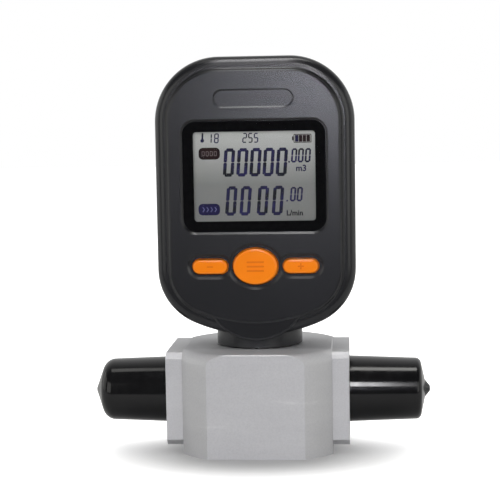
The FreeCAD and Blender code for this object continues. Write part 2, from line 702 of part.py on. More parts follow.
def make_cap(headroom, end_rise, end_radius, nub_diameter, nub_length):
    """Cap of the outlet side: a tapered wall, a coned end and the drip nub on it."""
    mouth = FLANGE_FACE_X + CAP_SEAT_GAP
    inner_end = FLANGE_FACE_X + NIPPLE_LENGTH + headroom
    outer_end = inner_end + CAP_WALL
    nub_base = outer_end + end_rise
    nub_tip = nub_base + nub_length
    nub = nub_diameter / 2
    thread_start = FLANGE_FACE_X + NIPPLE_LENGTH - THREAD_LENGTH
    foot = THREAD_FOOT_RADIUS + RUNNING_FIT
    end = foot - (inner_end - thread_start) * THREAD_TAPER / 2
    skin = turned_x(
        [
            (mouth, 0),
            (mouth, foot + CAP_MOUTH_WALL),
            (outer_end, end + CAP_WALL),
            (nub_base, nub),
            (nub_tip, CAP_NUB_TIP_DIAMETER / 2),
            (nub_tip, 0),
        ]
    )
    skin = skin.makeFillet(end_radius, end_rim(skin, outer_end))
    skin = skin.makeFillet(nub_length * CAP_NUB_ROUND_SHARE, end_rim(skin, nub_tip))
    hollow = turned_x(
        [
            (mouth, 0),
            (mouth, foot),
            (thread_start, foot),
            (inner_end, end),
            (inner_end + end_rise, nub),
            (inner_end + end_rise, 0),
        ]
    )
    hollow = hollow.makeFillet(max(end_radius - CAP_WALL, CAP_WALL), end_rim(hollow, inner_end))
    return skin.cut(hollow)


def make_inlet_cap():
    cap = make_cap(
        INLET_CAP_HEADROOM,
        INLET_CAP_END_RISE,
        INLET_CAP_END_RADIUS,
        INLET_CAP_NUB_DIAMETER,
        INLET_CAP_NUB_LENGTH,
    )
    return mirrored_x(cap)


def make_outlet_cap():
    return make_cap(
        OUTLET_CAP_HEADROOM,
        OUTLET_CAP_END_RISE,
        OUTLET_CAP_END_RADIUS,
        OUTLET_CAP_NUB_DIAMETER,
        OUTLET_CAP_NUB_LENGTH,
    )


def end_rim(shape, x):
    """Round edge of a turned piece that lies in the plane at x."""
    near = 1e-4
    return [e for e in shape.Edges if abs(e.BoundBox.XMin - x) < near and abs(e.BoundBox.XMax - x) < near]


def sensor_stem_bottom():
    return PORT_Z + FLOW_BORE / 2 - SENSOR_STEM_RECESS


def sensor_groove_z():
    return (sensor_stem_bottom() + SENSOR_SEAT_Z) / 2


def make_sensor_carrier():
    stem = SENSOR_BORE / 2 - SEAT_FIT
    groove = stem - SENSOR_SEAL_CORD
    groove_z = sensor_groove_z()
    half = SENSOR_SEAL_CORD / 2
    flange_top = SENSOR_SEAT_Z + SENSOR_FLANGE_THICKNESS
    flange = SENSOR_CHAMBER_DIAMETER / 2 - SEAT_FIT
    outline = [
        (0, sensor_stem_bottom()),
        (stem, sensor_stem_bottom()),
        (stem, groove_z - half),
        (groove, groove_z - half),
        (groove, groove_z + half),
        (stem, groove_z + half),
        (stem, SENSOR_SEAT_Z),
        (flange, SENSOR_SEAT_Z),
        (flange, flange_top),
        (0, flange_top),
    ]
    plug = turned([V(r, 0, z) for r, z in outline], V(0, 0, 0), V(0, 0, 1))
    blade_half = SENSOR_BLADE_THICKNESS / 2
    blade = block(
        -SENSOR_BLADE_LENGTH / 2,
        SENSOR_BLADE_LENGTH / 2,
        -blade_half,
        blade_half,
        PORT_Z - SENSOR_BLADE_DROP,
        sensor_stem_bottom() + half,
    )
    carrier = joined([plug, blade])
    for side in (-1, 1):
        y = side * sensor_screw_radius()
        hole = rod_z(0, y, SENSOR_SEAT_Z, flange_top, SENSOR_SCREW_DIAMETER / 2 + THREAD_FIT)
        carrier = carrier.cut(hole)
    return carrier


def make_sensor_chip():
    half = SENSOR_CHIP_SIZE / 2
    y = -SENSOR_BLADE_THICKNESS / 2
    return block(-half, half, y - SENSOR_CHIP_THICKNESS, y, PORT_Z - half, PORT_Z + half)


def make_sensor_seal():
    outer = SENSOR_BORE / 2 - SEAT_FIT
    return seal_ring(V(0, 0, sensor_groove_z()), V(0, 0, 1), outer, SENSOR_SEAL_CORD)


def make_sensor_board():
    z = SENSOR_SEAT_Z + SENSOR_FLANGE_THICKNESS
    return rod_z(0, 0, z, z + SENSOR_BOARD_THICKNESS, SENSOR_BOARD_DIAMETER / 2)


def make_sensor_header():
    half_x = SENSOR_HEADER_WIDTH / 2
    half_y = SENSOR_HEADER_DEPTH / 2
    return block(-half_x, half_x, -half_y, half_y, SPIGOT_SEAT_Z - SENSOR_HEADER_HEIGHT, SPIGOT_SEAT_Z)


def make_sensor_screws():
    seat = SENSOR_SEAT_Z + SENSOR_FLANGE_THICKNESS
    length = SENSOR_FLANGE_THICKNESS + SENSOR_SCREW_BITE
    size = SENSOR_SCREW_DIAMETER
    places = [V(0, side * sensor_screw_radius(), seat) for side in (-1, 1)]
    return Part.makeCompound([screw(p, V(0, 0, 1), size, length, size) for p in places])


def make_swivel_spigot():
    flange = rod_z(0, 0, SPIGOT_SEAT_Z, BLOCK_HEIGHT, SPIGOT_FLANGE_DIAMETER / 2)
    post = rod_z(0, 0, SPIGOT_SEAT_Z, SPIGOT_TOP_Z, SPIGOT_RADIUS)
    spigot = joined([flange, post])
    cuts = [rod_z(0, 0, SPIGOT_SEAT_Z, SPIGOT_TOP_Z, SPIGOT_BORE / 2)]
    seat = spigot_screw_seat_z()
    for x, y in spigot_screw_places():
        cuts.append(rod_z(x, y, SPIGOT_SEAT_Z, BLOCK_HEIGHT, SPIGOT_SCREW_DIAMETER / 2 + THREAD_FIT))
        cuts.append(rod_z(x, y, seat, BLOCK_HEIGHT, screw_head_radius(SPIGOT_SCREW_DIAMETER) + SEAT_FIT))
    pin_bottom = BLOCK_HEIGHT - STOP_PIN_SUNK
    cuts.append(rod_z(0, STOP_RADIUS, pin_bottom, BLOCK_HEIGHT, STOP_PIN_DIAMETER / 2 + SEAT_FIT))
    return spigot.cut(joined(cuts))


def make_spigot_screws():
    seat = spigot_screw_seat_z()
    length = seat - SPIGOT_SEAT_Z + SPIGOT_SCREW_BITE
    size = SPIGOT_SCREW_DIAMETER
    places = [V(x, y, seat) for x, y in spigot_screw_places()]
    return Part.makeCompound([screw(p, V(0, 0, 1), size, length, size) for p in places])


def make_stop_pin():
    bottom = BLOCK_HEIGHT - STOP_PIN_SUNK
    return rod_z(0, STOP_RADIUS, bottom, BLOCK_HEIGHT + STOP_PIN_STAND, STOP_PIN_DIAMETER / 2)


def make_thrust_washer():
    outer = STOP_RADIUS - STOP_SLOT_HALF - SLIDE_GAP
    return ring_z(BLOCK_HEIGHT, NECK_BOTTOM_Z, outer, SPIGOT_RADIUS + SEAT_FIT)


def make_friction_washer():
    return ring_z(NECK_TOP_Z, NUT_BOTTOM_Z, NECK_LIP_DIAMETER / 2, SPIGOT_RADIUS + SEAT_FIT)


def make_swivel_nut():
    top = NUT_BOTTOM_Z + SWIVEL_NUT_THICKNESS
    outer = NECK_LIP_DIAMETER / 2
    nut = ring_z(NUT_BOTTOM_Z, top, outer, SPIGOT_RADIUS + THREAD_FIT)
    half = SWIVEL_NUT_SLOT / 2
    for i in range(SWIVEL_NUT_SLOT_COUNT):
        slot = block(outer - half, outer, -half, half, NUT_BOTTOM_Z, top)
        slot.rotate(V(0, 0, 0), V(0, 0, 1), 360.0 * i / SWIVEL_NUT_SLOT_COUNT)
        nut = nut.cut(slot)
    return nut


def make_neck_collar():
    skirt = rod_z(0, 0, NECK_BOTTOM_Z, NECK_SHOULDER_Z, NECK_RADIUS)
    skirt = skirt.makeFillet(NECK_EDGE_RADIUS, upper_edges(skirt))
    half = NECK_WAIST / 2
    waist = block(-half, half, -half, half, NECK_SHOULDER_Z, CLAMP_TOP_Z)
    lip = rod_z(0, 0, CLAMP_TOP_Z, NECK_TOP_Z, NECK_LIP_DIAMETER / 2)
    neck = joined([skirt, waist, lip])
    neck = neck.cut(rod_z(0, 0, NECK_BOTTOM_Z, NECK_TOP_Z, SPIGOT_RADIUS + RUNNING_FIT))
    slot_top = BLOCK_HEIGHT + STOP_PIN_STAND + SLIDE_GAP
    inner = STOP_RADIUS - STOP_SLOT_HALF
    outer = STOP_RADIUS + STOP_SLOT_HALF
    pin_reach = math.degrees(math.asin(STOP_SLOT_HALF / STOP_RADIUS))
    sweep = 2 * (SWIVEL_HALF_TURN + pin_reach + STOP_SLOT_SLACK)
    profile = Part.makePolygon(
        [V(inner, 0, 0), V(outer, 0, 0), V(outer, 0, slot_top), V(inner, 0, slot_top), V(inner, 0, 0)]
    )
    slot = Part.Face(profile).revolve(V(0, 0, 0), V(0, 0, 1), sweep)
    slot.rotate(V(0, 0, 0), V(0, 0, 1), 90 - sweep / 2)
    return neck.cut(slot)


def neck_cutters():
    """Socket for the neck's skirt and the square hole for its waist."""
    half = NECK_WAIST / 2 + SEAT_FIT
    socket = rod_z(0, 0, 0, NECK_SHOULDER_Z, NECK_RADIUS + SEAT_FIT)
    waist = block(-half, half, -half, half, NECK_SHOULDER_Z, CLAMP_TOP_Z)
    return socket.fuse(waist)


def neck_clamp(outer):
    """Solid floor of the head round the neck."""
    half = NECK_RADIUS + CASE_WALL
    return outer.common(block(-half, half, -FAR, FAR, 0, CLAMP_TOP_Z))


def front_skin():
    rim = head_slab(0, PARTING_Y, RIM_Y)
    rim = round_at(rim, RIM_Y, RIM_RADIUS)
    rim = bevel_at(rim, PARTING_Y, PARTING_CHAMFER)
    face = head_slab(FACE_INSET, PARTING_Y, FACE_Y)
    face = round_at(face, FACE_Y, FACE_EDGE_RADIUS)
    skin = rim.fuse(face).removeSplitter()
    near = SEAT_FIT
    reach = HEAD_HALF - FACE_INSET + near
    top = HEAD_TOP_Z - FACE_INSET + near

    def on_face_foot(box):
        return box.XMax < reach and box.XMin > -reach and box.ZMax < top

    foot = [e for e in flat_edges(skin, RIM_Y) if on_face_foot(e.BoundBox)]
    return skin.makeFillet(FACE_FOOT_RADIUS, foot)


def chin_tongue():
    """Rounded tongue that runs from the raised face down over the front of the neck."""
    foot = HEAD_BOTTOM_Z - CHIN_TONGUE_DROP
    front = FACE_Y + CHIN_TONGUE_STEP
    back = RIM_Y + CASE_WALL / 2
    reach = CHIN_TONGUE_RADIUS
    top = foot + reach
    lobe = rod_y(0, front, back, top, reach)
    lobe = round_at(lobe, front, CHIN_TONGUE_EDGE)
    tongue = lobe.common(block(-reach, reach, front, back, foot, top))
    tongue.rotate(V(0, front, top), V(1, 0, 0), CHIN_TONGUE_LEAN)
    return tongue


def make_front_case():
    skin = front_skin()
    cavity = head_slab(CASE_WALL, PARTING_Y, RIM_INNER_Y)
    cavity = cavity.fuse(head_slab(FACE_INSET + CASE_WALL, PARTING_Y, FACE_INNER_Y))
    shell = skin.fuse(chin_tongue()).cut(cavity)
    pad_width = LCD_FRAME_WIDTH + 2 * LEDGE_PAD
    pad_height = LCD_FRAME_HEIGHT + 2 * LEDGE_PAD
    ledge = plate(pad_width, pad_height, LEDGE_PAD, WINDOW_Z, FACE_INNER_Y, LCD_Y)
    extras = [neck_clamp(skin), ledge]
    boss = CASE_SCREW_DIAMETER / 2 + THREAD_FIT + CASE_BOSS_WALL
    for x, z in CASE_SCREW_PLACES:
        extras.append(skin.common(rod_y(x, FACE_INNER_Y - FACE_WALL / 2, PARTING_Y, z, boss)))
    for x, z in BOARD_SCREW_PLACES:
        extras.append(skin.common(rod_y(x, RIM_INNER_Y - CASE_WALL / 2, BOARD_Y, z, BOARD_POST_RADIUS)))
    shell = joined([shell] + extras)
    seat_width = WINDOW_WIDTH + 2 * WINDOW_FIT
    seat_height = WINDOW_HEIGHT + 2 * WINDOW_FIT
    seat = plate(seat_width, seat_height, WINDOW_CORNER + WINDOW_FIT, WINDOW_Z, FACE_Y, LEDGE_Y)
    seat = seat.fuse(window_bevel(seat_width, seat_height))
    opening = plate(
        LCD_VISIBLE_WIDTH + 2 * LEDGE_CLEARANCE,
        LCD_VISIBLE_HEIGHT + 2 * LEDGE_CLEARANCE,
        MASK_CORNER,
        WINDOW_Z,
        LEDGE_Y,
        LCD_Y,
    )
    cuts = [neck_cutters(), seat, opening]
    for name in KEY_PLACES:
        cuts.append(key_pocket(name))
        cuts.append(key_shape(name, KEY_GAP, FACE_Y, FACE_INNER_Y))
    for x, z in CASE_SCREW_PLACES:
        depth = PARTING_Y - CASE_SCREW_BITE - SLIDE_GAP
        cuts.append(rod_y(x, depth, PARTING_Y, z, CASE_SCREW_DIAMETER / 2 + THREAD_FIT))
    for x, z in BOARD_SCREW_PLACES:
        depth = BOARD_Y - BOARD_SCREW_BITE - SLIDE_GAP
        cuts.append(rod_y(x, depth, BOARD_Y, z, BOARD_SCREW_DIAMETER / 2 + THREAD_FIT))
    cuts.append(badge_recess())
    cuts.append(gasket_ring())
    for cutter in cuts:
        shell = shell.cut(cutter)
    return shell


def sloped_cutter(wide, narrow):
    """Cutter whose wall slopes from the front of one slab to the front of a smaller one behind it."""
    wires = []
    for slab in (wide, narrow):
        front = min(slab.Faces, key=lambda f: f.CenterOfMass.y)
        wires.append(front.OuterWire)
    return Part.makeLoft(wires, True, True)


def window_bevel(width, height):
    """Sloping lip that frames the window seat."""
    back = FACE_Y + WINDOW_BEVEL
    corner = WINDOW_CORNER + WINDOW_FIT
    grown = 2 * WINDOW_BEVEL
    wide = plate(width + grown, height + grown, corner + WINDOW_BEVEL, WINDOW_Z, FACE_Y, back)
    narrow = plate(width, height, corner, WINDOW_Z, back, back + WINDOW_BEVEL)
    return sloped_cutter(wide, narrow)


def key_pocket(name):
    """Shallow pocket round a key, its wall sloped out to the face."""
    back = FACE_Y + KEY_POCKET_DEPTH
    wide = key_shape(name, KEY_POCKET_MARGIN + KEY_POCKET_SLOPE, FACE_Y, back)
    narrow = key_shape(name, KEY_POCKET_MARGIN, back, back + KEY_POCKET_DEPTH)
    return sloped_cutter(wide, narrow)


def badge_recess():
    """Bare recess for a badge, its wall sloped out to the face."""
    back = FACE_Y + BADGE_DEPTH
    wide = racetrack(BADGE_WIDTH, BADGE_HEIGHT, BADGE_Z, FACE_Y, back)
    floor_width = BADGE_WIDTH - 2 * BADGE_SLOPE
    floor_height = BADGE_HEIGHT - 2 * BADGE_SLOPE
    narrow = racetrack(floor_width, floor_height, BADGE_Z, back, back + BADGE_DEPTH)
    return sloped_cutter(wide, narrow)


def gasket_ring():
    outer = head_slab(GASKET_INSET, PARTING_Y - GASKET_DEPTH, PARTING_Y)
    inner = head_slab(GASKET_INSET + GASKET_WIDTH, PARTING_Y - GASKET_DEPTH, PARTING_Y)
    gap = NECK_RADIUS + CASE_WALL
    return outer.cut(inner).cut(block(-gap, gap, -FAR, FAR, 0, CLAMP_TOP_Z))


def case_screw_seat_y():
    return BACK_Y - CASE_SCREW_SINK


def door_screw_seat_y():
    return BACK_Y - DOOR_SCREW_HEAD


def door_shape(grow, y0, y1):
    """Door outline with a screw tab at each end, grown all round."""
    height = DOOR_TOP_Z - DOOR_BOTTOM_Z + 2 * grow
    middle = (DOOR_TOP_Z + DOOR_BOTTOM_Z) / 2
    panel = plate(2 * (DOOR_HALF + grow), height, DOOR_CORNER + grow, middle, y0, y1)
    tabs = [rod_y(0, y0, y1, z, DOOR_TAB_RADIUS + grow) for z in DOOR_SCREW_HEIGHTS]
    return joined([panel] + tabs)


def make_rear_case():
    skin = head_slab(0, PARTING_Y, BACK_Y)
    skin = round_at(skin, BACK_Y, BACK_RADIUS)
    skin = bevel_at(skin, PARTING_Y, PARTING_CHAMFER)
    cavity = head_slab(CASE_WALL, PARTING_Y, BACK_Y - CASE_WALL)
    shell = skin.cut(cavity)
    wall = BAY_HALF + BAY_WALL
    bay = block(-wall, wall, BAY_FRONT_Y, BACK_Y, BAY_BOTTOM_Z - BAY_WALL, BAY_TOP_Z + BAY_WALL)
    lip = door_shape(DOOR_GAP + BAY_WALL, DOOR_SEAT_Y - BAY_WALL, BACK_Y)
    extras = [neck_clamp(skin), skin.common(bay), skin.common(lip)]
    sleeve = screw_head_radius(CASE_SCREW_DIAMETER) + SLIDE_GAP + CASE_BOSS_WALL
    for x, z in CASE_SCREW_PLACES:
        extras.append(skin.common(rod_y(x, PARTING_Y, BACK_Y, z, sleeve)))
    for z in DOOR_SCREW_HEIGHTS:
        depth = DOOR_SEAT_Y - DOOR_SCREW_BITE - BAY_WALL
        extras.append(rod_y(0, depth, DOOR_SEAT_Y, z, DOOR_BOSS_RADIUS))
    shell = joined([shell] + extras)
    cuts = [
        neck_cutters(),
        block(-BAY_HALF, BAY_HALF, BAY_FLOOR_Y, BACK_Y, BAY_BOTTOM_Z, BAY_TOP_Z),
        door_shape(DOOR_GAP, DOOR_SEAT_Y, BACK_Y),
    ]
    seat = case_screw_seat_y()
    for x, z in CASE_SCREW_PLACES:
        cuts.append(rod_y(x, PARTING_Y, seat, z, CASE_SCREW_DIAMETER / 2 + THREAD_FIT))
        cuts.append(rod_y(x, seat, BACK_Y, z, screw_head_radius(CASE_SCREW_DIAMETER) + SLIDE_GAP))
    for z in DOOR_SCREW_HEIGHTS:
        depth = DOOR_SEAT_Y - DOOR_SCREW_BITE - SLIDE_GAP
        cuts.append(rod_y(0, depth, DOOR_SEAT_Y, z, DOOR_SCREW_DIAMETER / 2 + THREAD_FIT))
    for x, z0, z1 in contact_tag_places():
        half = CONTACT_TAG / 2 + SEAT_FIT
        cuts.append(block(x - half, x + half, BAY_FRONT_Y, BAY_FLOOR_Y, z0 - SEAT_FIT, z1 + SEAT_FIT))
    for cutter in cuts:
        shell = shell.cut(cutter)
    return shell


def make_case_screws():
    seat = case_screw_seat_y()
    length = seat - PARTING_Y + CASE_SCREW_BITE
    size = CASE_SCREW_DIAMETER
    places = [V(x, seat, z) for x, z in CASE_SCREW_PLACES]
    return Part.makeCompound([screw(p, V(0, 1, 0), size, length, size) for p in places])


def make_display_window():
    return plate(WINDOW_WIDTH, WINDOW_HEIGHT, WINDOW_CORNER, WINDOW_Z, PANE_Y, MASK_Y)


def make_window_mask():
    border = plate(WINDOW_WIDTH, WINDOW_HEIGHT, WINDOW_CORNER, WINDOW_Z, MASK_Y, LEDGE_Y)
    return border.cut(plate(LCD_VISIBLE_WIDTH, LCD_VISIBLE_HEIGHT, MASK_CORNER, WINDOW_Z, MASK_Y, LEDGE_Y))


def make_lcd_glass():
    half_x = LCD_WIDTH / 2
    half_z = LCD_HEIGHT / 2
    return block(-half_x, half_x, LCD_Y, LIGHT_Y, WINDOW_Z - half_z, WINDOW_Z + half_z)


def make_lcd_backlight():
    half_x = LCD_WIDTH / 2
    half_z = LCD_HEIGHT / 2
    bottom = WINDOW_Z - half_z + LCD_LIGHT_SHORT
    return block(-half_x, half_x, LIGHT_Y, LIGHT_Y + LCD_LIGHT_THICKNESS, bottom, WINDOW_Z + half_z)


def make_lcd_strip():
    half_x = LCD_VISIBLE_WIDTH / 2
    bottom = WINDOW_Z - LCD_HEIGHT / 2
    return block(-half_x, half_x, LIGHT_Y, BOARD_Y, bottom, bottom + LCD_STRIP_THICKNESS)


def make_lcd_frame():
    half_x = LCD_WIDTH / 2 + LCD_FIT
    half_z = LCD_HEIGHT / 2 + LCD_FIT
    wall = LCD_FRAME_WALL
    bottom = WINDOW_Z - half_z
    top = WINDOW_Z + half_z
    outer = block(-half_x - wall, half_x + wall, LCD_Y, BOARD_Y, bottom - wall, top + wall)
    inner = block(-half_x, half_x, LCD_Y, BOARD_Y, bottom, top)
    ledge_y = LIGHT_Y + LCD_LIGHT_THICKNESS
    ledge_bottom = bottom + LCD_LIGHT_SHORT + wall
    ledge = block(-half_x, half_x, ledge_y, BOARD_Y, ledge_bottom, top)
    hole = block(-half_x + wall, half_x - wall, ledge_y, BOARD_Y, ledge_bottom + wall, top - wall)
    return joined([outer.cut(inner), ledge.cut(hole)])


def board_top_z():
    return WINDOW_Z + LCD_FRAME_HEIGHT / 2 + BOARD_TOP_MARGIN


def make_main_board():
    sheet = head_slab(CASE_WALL + BOARD_EDGE_GAP, BOARD_Y, BOARD_BACK_Y)
    board = sheet.common(block(-FAR, FAR, BOARD_Y, BOARD_BACK_Y, BOARD_BOTTOM_Z, board_top_z()))
    for x, z in BOARD_SCREW_PLACES:
        board = board.cut(rod_y(x, BOARD_Y, BOARD_BACK_Y, z, BOARD_SCREW_DIAMETER / 2 + THREAD_FIT))
    return board


def make_board_screws():
    length = BOARD_THICKNESS + BOARD_SCREW_BITE
    size = BOARD_SCREW_DIAMETER
    places = [V(x, BOARD_BACK_Y, z) for x, z in BOARD_SCREW_PLACES]
    return Part.makeCompound([screw(p, V(0, 1, 0), size, length, size) for p in places])


def make_board_chips():
    y = BOARD_BACK_Y
    chips = [plate(PROCESSOR_SIZE, PROCESSOR_SIZE, CHIP_HEIGHT / 2, WINDOW_Z, y, y + CHIP_HEIGHT)]
    for side in (-1, 1):
        z = WINDOW_Z + side * CHIP_SPACING_Z
        chips.append(plate(DRIVER_SIZE, DRIVER_SIZE, CHIP_HEIGHT / 2, z, y, y + CHIP_HEIGHT))
        chips.append(rod_y(side * CHIP_SPACING_X, y, y + COIL_HEIGHT, WINDOW_Z, COIL_DIAMETER / 2))
    return Part.makeCompound(chips)


def sensor_socket_bottom():
    return BOARD_BOTTOM_Z + SENSOR_SOCKET_RISE


def make_sensor_socket():
    half = SENSOR_SOCKET_WIDTH / 2
    z = sensor_socket_bottom()
    y = BOARD_BACK_Y
    return block(-half, half, y, y + SENSOR_SOCKET_DEPTH, z, z + SENSOR_SOCKET_HEIGHT)


def make_sensor_cable():
    """Round lead: up the spigot on the turning axis, then two arcs over to the socket."""
    start = V(0, 0, SPIGOT_SEAT_Z)
    end = V(0, BOARD_BACK_Y + SENSOR_SOCKET_DEPTH / 2, sensor_socket_bottom())
    bend = start + V(0, 0, CABLE_STRAIGHT)
    last = end - V(0, 0, CABLE_TAIL)
    middle = (bend + last) * 0.5
    run = last.z - bend.z
    step = abs(last.y - bend.y)
    radius = (run**2 + step**2) / (4 * step)
    lean = math.asin(run / (2 * radius)) / 2
    offset = radius * (1 - math.cos(lean))
    rise = radius * math.sin(lean)
    lower = Part.Arc(bend, bend + V(0, -offset, rise), middle).toShape()
    upper = Part.Arc(middle, last + V(0, offset, -rise), last).toShape()
    route = Part.Wire([Part.makeLine(start, bend), lower, upper, Part.makeLine(last, end)])
    section = Part.Wire(Part.makeCircle(CABLE_DIAMETER / 2, start, V(0, 0, 1)))
    return route.makePipeShell([section], True, False)


def make_key(name):
    front = FACE_Y - KEY_PROUD
    lip_y = FACE_INNER_Y + KEY_LIP_GAP
    cap = round_at(key_shape(name, 0.0, front, lip_y), front, KEY_EDGE_RADIUS)
    lip = key_shape(name, KEY_LIP, lip_y, lip_y + KEY_LIP_THICKNESS)
    stem = rod_y(KEY_PLACES[name], lip_y + KEY_LIP_THICKNESS, PLUNGER_Y, KEY_Z, KEY_STEM_DIAMETER / 2)
    return joined([cap, lip, stem])


def make_plunger(name):
    return rod_y(KEY_PLACES[name], PLUNGER_Y, SWITCH_Y + PLUNGER_SUNK, KEY_Z, PLUNGER_DIAMETER / 2)


def make_switch_bodies():
    half = SWITCH_SIZE / 2
    well = SWITCH_Y + PLUNGER_SUNK + KEY_TRAVEL + SLIDE_GAP
    bodies = []
    for x in KEY_PLACES.values():
        body = block(x - half, x + half, SWITCH_Y, BOARD_Y, KEY_Z - half, KEY_Z + half)
        bodies.append(body.cut(rod_y(x, SWITCH_Y, well, KEY_Z, PLUNGER_DIAMETER / 2 + RUNNING_FIT)))
    return Part.makeCompound(bodies)


def cell_places():
    """Centre x of each cell and whether its nub points up."""
    first = -CELL_PITCH * (CELL_COUNT - 1) / 2
    return [(first + CELL_PITCH * i, i % 2 == 0) for i in range(CELL_COUNT)]


def make_battery_cells():
    cells = []
    for x, nub_up in cell_places():
        can_length = CELL_LENGTH - CELL_NUB_LENGTH
        can = rod_z(x, CELL_Y, 0, can_length, CELL_DIAMETER / 2)
        rims = [e for e in can.Edges if e.BoundBox.ZLength < CELL_EDGE_RADIUS]
        can = can.makeFillet(CELL_EDGE_RADIUS, rims)
        cell = joined([can, rod_z(x, CELL_Y, can_length, CELL_LENGTH, CELL_NUB_DIAMETER / 2)])
        if nub_up:
            cell.translate(V(0, 0, BAY_TOP_Z - CONTACT_THICKNESS - CELL_LENGTH))
        else:
            cell = cell.mirror(V(0, 0, 0), V(0, 0, 1))
            cell.translate(V(0, 0, BAY_BOTTOM_Z + CONTACT_THICKNESS + CELL_LENGTH))
        cells.append(cell)
    return Part.makeCompound(cells)


def contact_levels():
    return [BAY_BOTTOM_Z, BAY_TOP_Z - CONTACT_THICKNESS]


def contact_tag_places():
    """Tags that pass the bay's floor: at the foot of the first cell and the head of the last."""
    ends = (cell_places()[0][0], cell_places()[-1][0])
    return [(x, z, z + CONTACT_THICKNESS) for x, z in zip(ends, contact_levels())]


def make_contact_plates():
    half = CONTACT_SIZE / 2
    y0 = CELL_Y - half
    y1 = CELL_Y + half
    plates = []
    for x, z0, z1 in contact_tag_places():
        sheet = block(x - half, x + half, y0, y1, z0, z1)
        tag = block(x - CONTACT_TAG / 2, x + CONTACT_TAG / 2, BOARD_BACK_Y, y0, z0, z1)
        plates.append(joined([sheet, tag]))
    places = [x for x, nub_up in cell_places()]
    bottom, top = contact_levels()
    for left, right, z in ((places[0], places[1], top), (places[1], places[2], bottom)):
        plates.append(block(left - half, right + half, y0, y1, z, z + CONTACT_THICKNESS))
    return Part.makeCompound(plates)


def make_spring():
    """Coned coil of round wire that rises from the origin in half turns, each a tilted half ring."""
    height = SPRING_LENGTH - SPRING_WIRE
    half_turns = int(2 * SPRING_TURNS)
    narrowing = math.tan(math.radians(SPRING_CONE_ANGLE))
    joints = []
    for i in range(half_turns + 1):
        z = height * i / half_turns
        joints.append(V((-1) ** i * (SPRING_FOOT_DIAMETER / 2 - narrowing * z), 0, z))
    rings = []
    for i, (first, last) in enumerate(zip(joints, joints[1:])):
        section = Part.Face(Part.Wire(Part.makeCircle(SPRING_WIRE / 2, first, V(0, 1, 0))))
        axis = (first - last).cross(V(0, (-1) ** i, 0))
        rings.append(section.revolve((first + last) / 2, axis, 180))
    return joined(rings)


def make_contact_springs():
    spring = make_spring()
    rise = CONTACT_THICKNESS + SPRING_WIRE / 2
    springs = []
    for x, nub_up in cell_places():
        if nub_up:
            springs.append(spring.translated(V(x, CELL_Y, BAY_BOTTOM_Z + rise)))
        else:
            hanging = spring.mirror(V(0, 0, 0), V(0, 0, 1))
            springs.append(hanging.translated(V(x, CELL_Y, BAY_TOP_Z - rise)))
    return Part.makeCompound(springs)


def make_battery_door():
    door = door_shape(0.0, DOOR_SEAT_Y + DOOR_SEAT_GAP, BACK_Y)
    hole = DOOR_SCREW_DIAMETER / 2 + THREAD_FIT
    sink = screw_head_radius(DOOR_SCREW_DIAMETER) + SEAT_FIT
    for z in DOOR_SCREW_HEIGHTS:
        door = door.cut(rod_y(0, DOOR_SEAT_Y, BACK_Y, z, hole))
        door = door.cut(rod_y(0, door_screw_seat_y(), BACK_Y, z, sink))
    return door


def make_door_screws():
    seat = door_screw_seat_y()
    length = seat - DOOR_SEAT_Y + DOOR_SCREW_BITE
    places = [V(0, seat, z) for z in DOOR_SCREW_HEIGHTS]
    screws = [screw(p, V(0, 1, 0), DOOR_SCREW_DIAMETER, length, DOOR_SCREW_HEAD) for p in places]
    return Part.makeCompound(screws)


pieces = {
    "flow_body": make_flow_body(),
    "inlet_fitting": mirrored_x(make_outlet_fitting()),
    "outlet_fitting": make_outlet_fitting(),
    "flange_screws": make_flange_screws(),
    "flange_seals": make_flange_seals(),
    "flow_screens": make_flow_screens(),
    "flow_straightener": make_flow_straightener(),
    "inlet_cap": make_inlet_cap(),
    "outlet_cap": make_outlet_cap(),
    "sensor_carrier": make_sensor_carrier(),
    "sensor_chip": make_sensor_chip(),
    "sensor_seal": make_sensor_seal(),
    "sensor_board": make_sensor_board(),
    "sensor_header": make_sensor_header(),
    "sensor_screws": make_sensor_screws(),
    "swivel_spigot": make_swivel_spigot(),
    "spigot_screws": make_spigot_screws(),
    "stop_pin": make_stop_pin(),
    "thrust_washer": make_thrust_washer(),
    "friction_washer": make_friction_washer(),
    "swivel_nut": make_swivel_nut(),
    "neck_collar": make_neck_collar(),
    "front_case": make_front_case(),
    "rear_case": make_rear_case(),
    "case_gasket": gasket_ring(),
    "case_screws": make_case_screws(),
    "display_window": make_display_window(),
    "window_mask": make_window_mask(),
    "lcd_glass": make_lcd_glass(),
    "lcd_backlight": make_lcd_backlight(),
    "lcd_strip": make_lcd_strip(),
    "lcd_frame": make_lcd_frame(),
    "main_board": make_main_board(),
    "board_chips": make_board_chips(),
    "board_screws": make_board_screws(),
    "sensor_socket": make_sensor_socket(),
    "sensor_cable": make_sensor_cable(),
    "switch_bodies": make_switch_bodies(),
    "battery_cells": make_battery_cells(),
    "contact_plates": make_contact_plates(),
    "contact_springs": make_contact_springs(),
    "battery_door": make_battery_door(),
    "door_screws": make_door_screws(),
}
for key_name in KEY_PLACES:
    pieces[key_name + "_key"] = make_key(key_name)
    pieces[key_name + "_plunger"] = make_plunger(key_name)

os.makedirs("parts", exist_ok=True)
for piece_name, shape in pieces.items():
    shape.exportStep("parts/" + piece_name + ".step")
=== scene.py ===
"""Looks of the digital air flow meter: finishes of its solids, the display's marks, studio and camera."""
import math

import bpy
from mathutils import Matrix, Vector


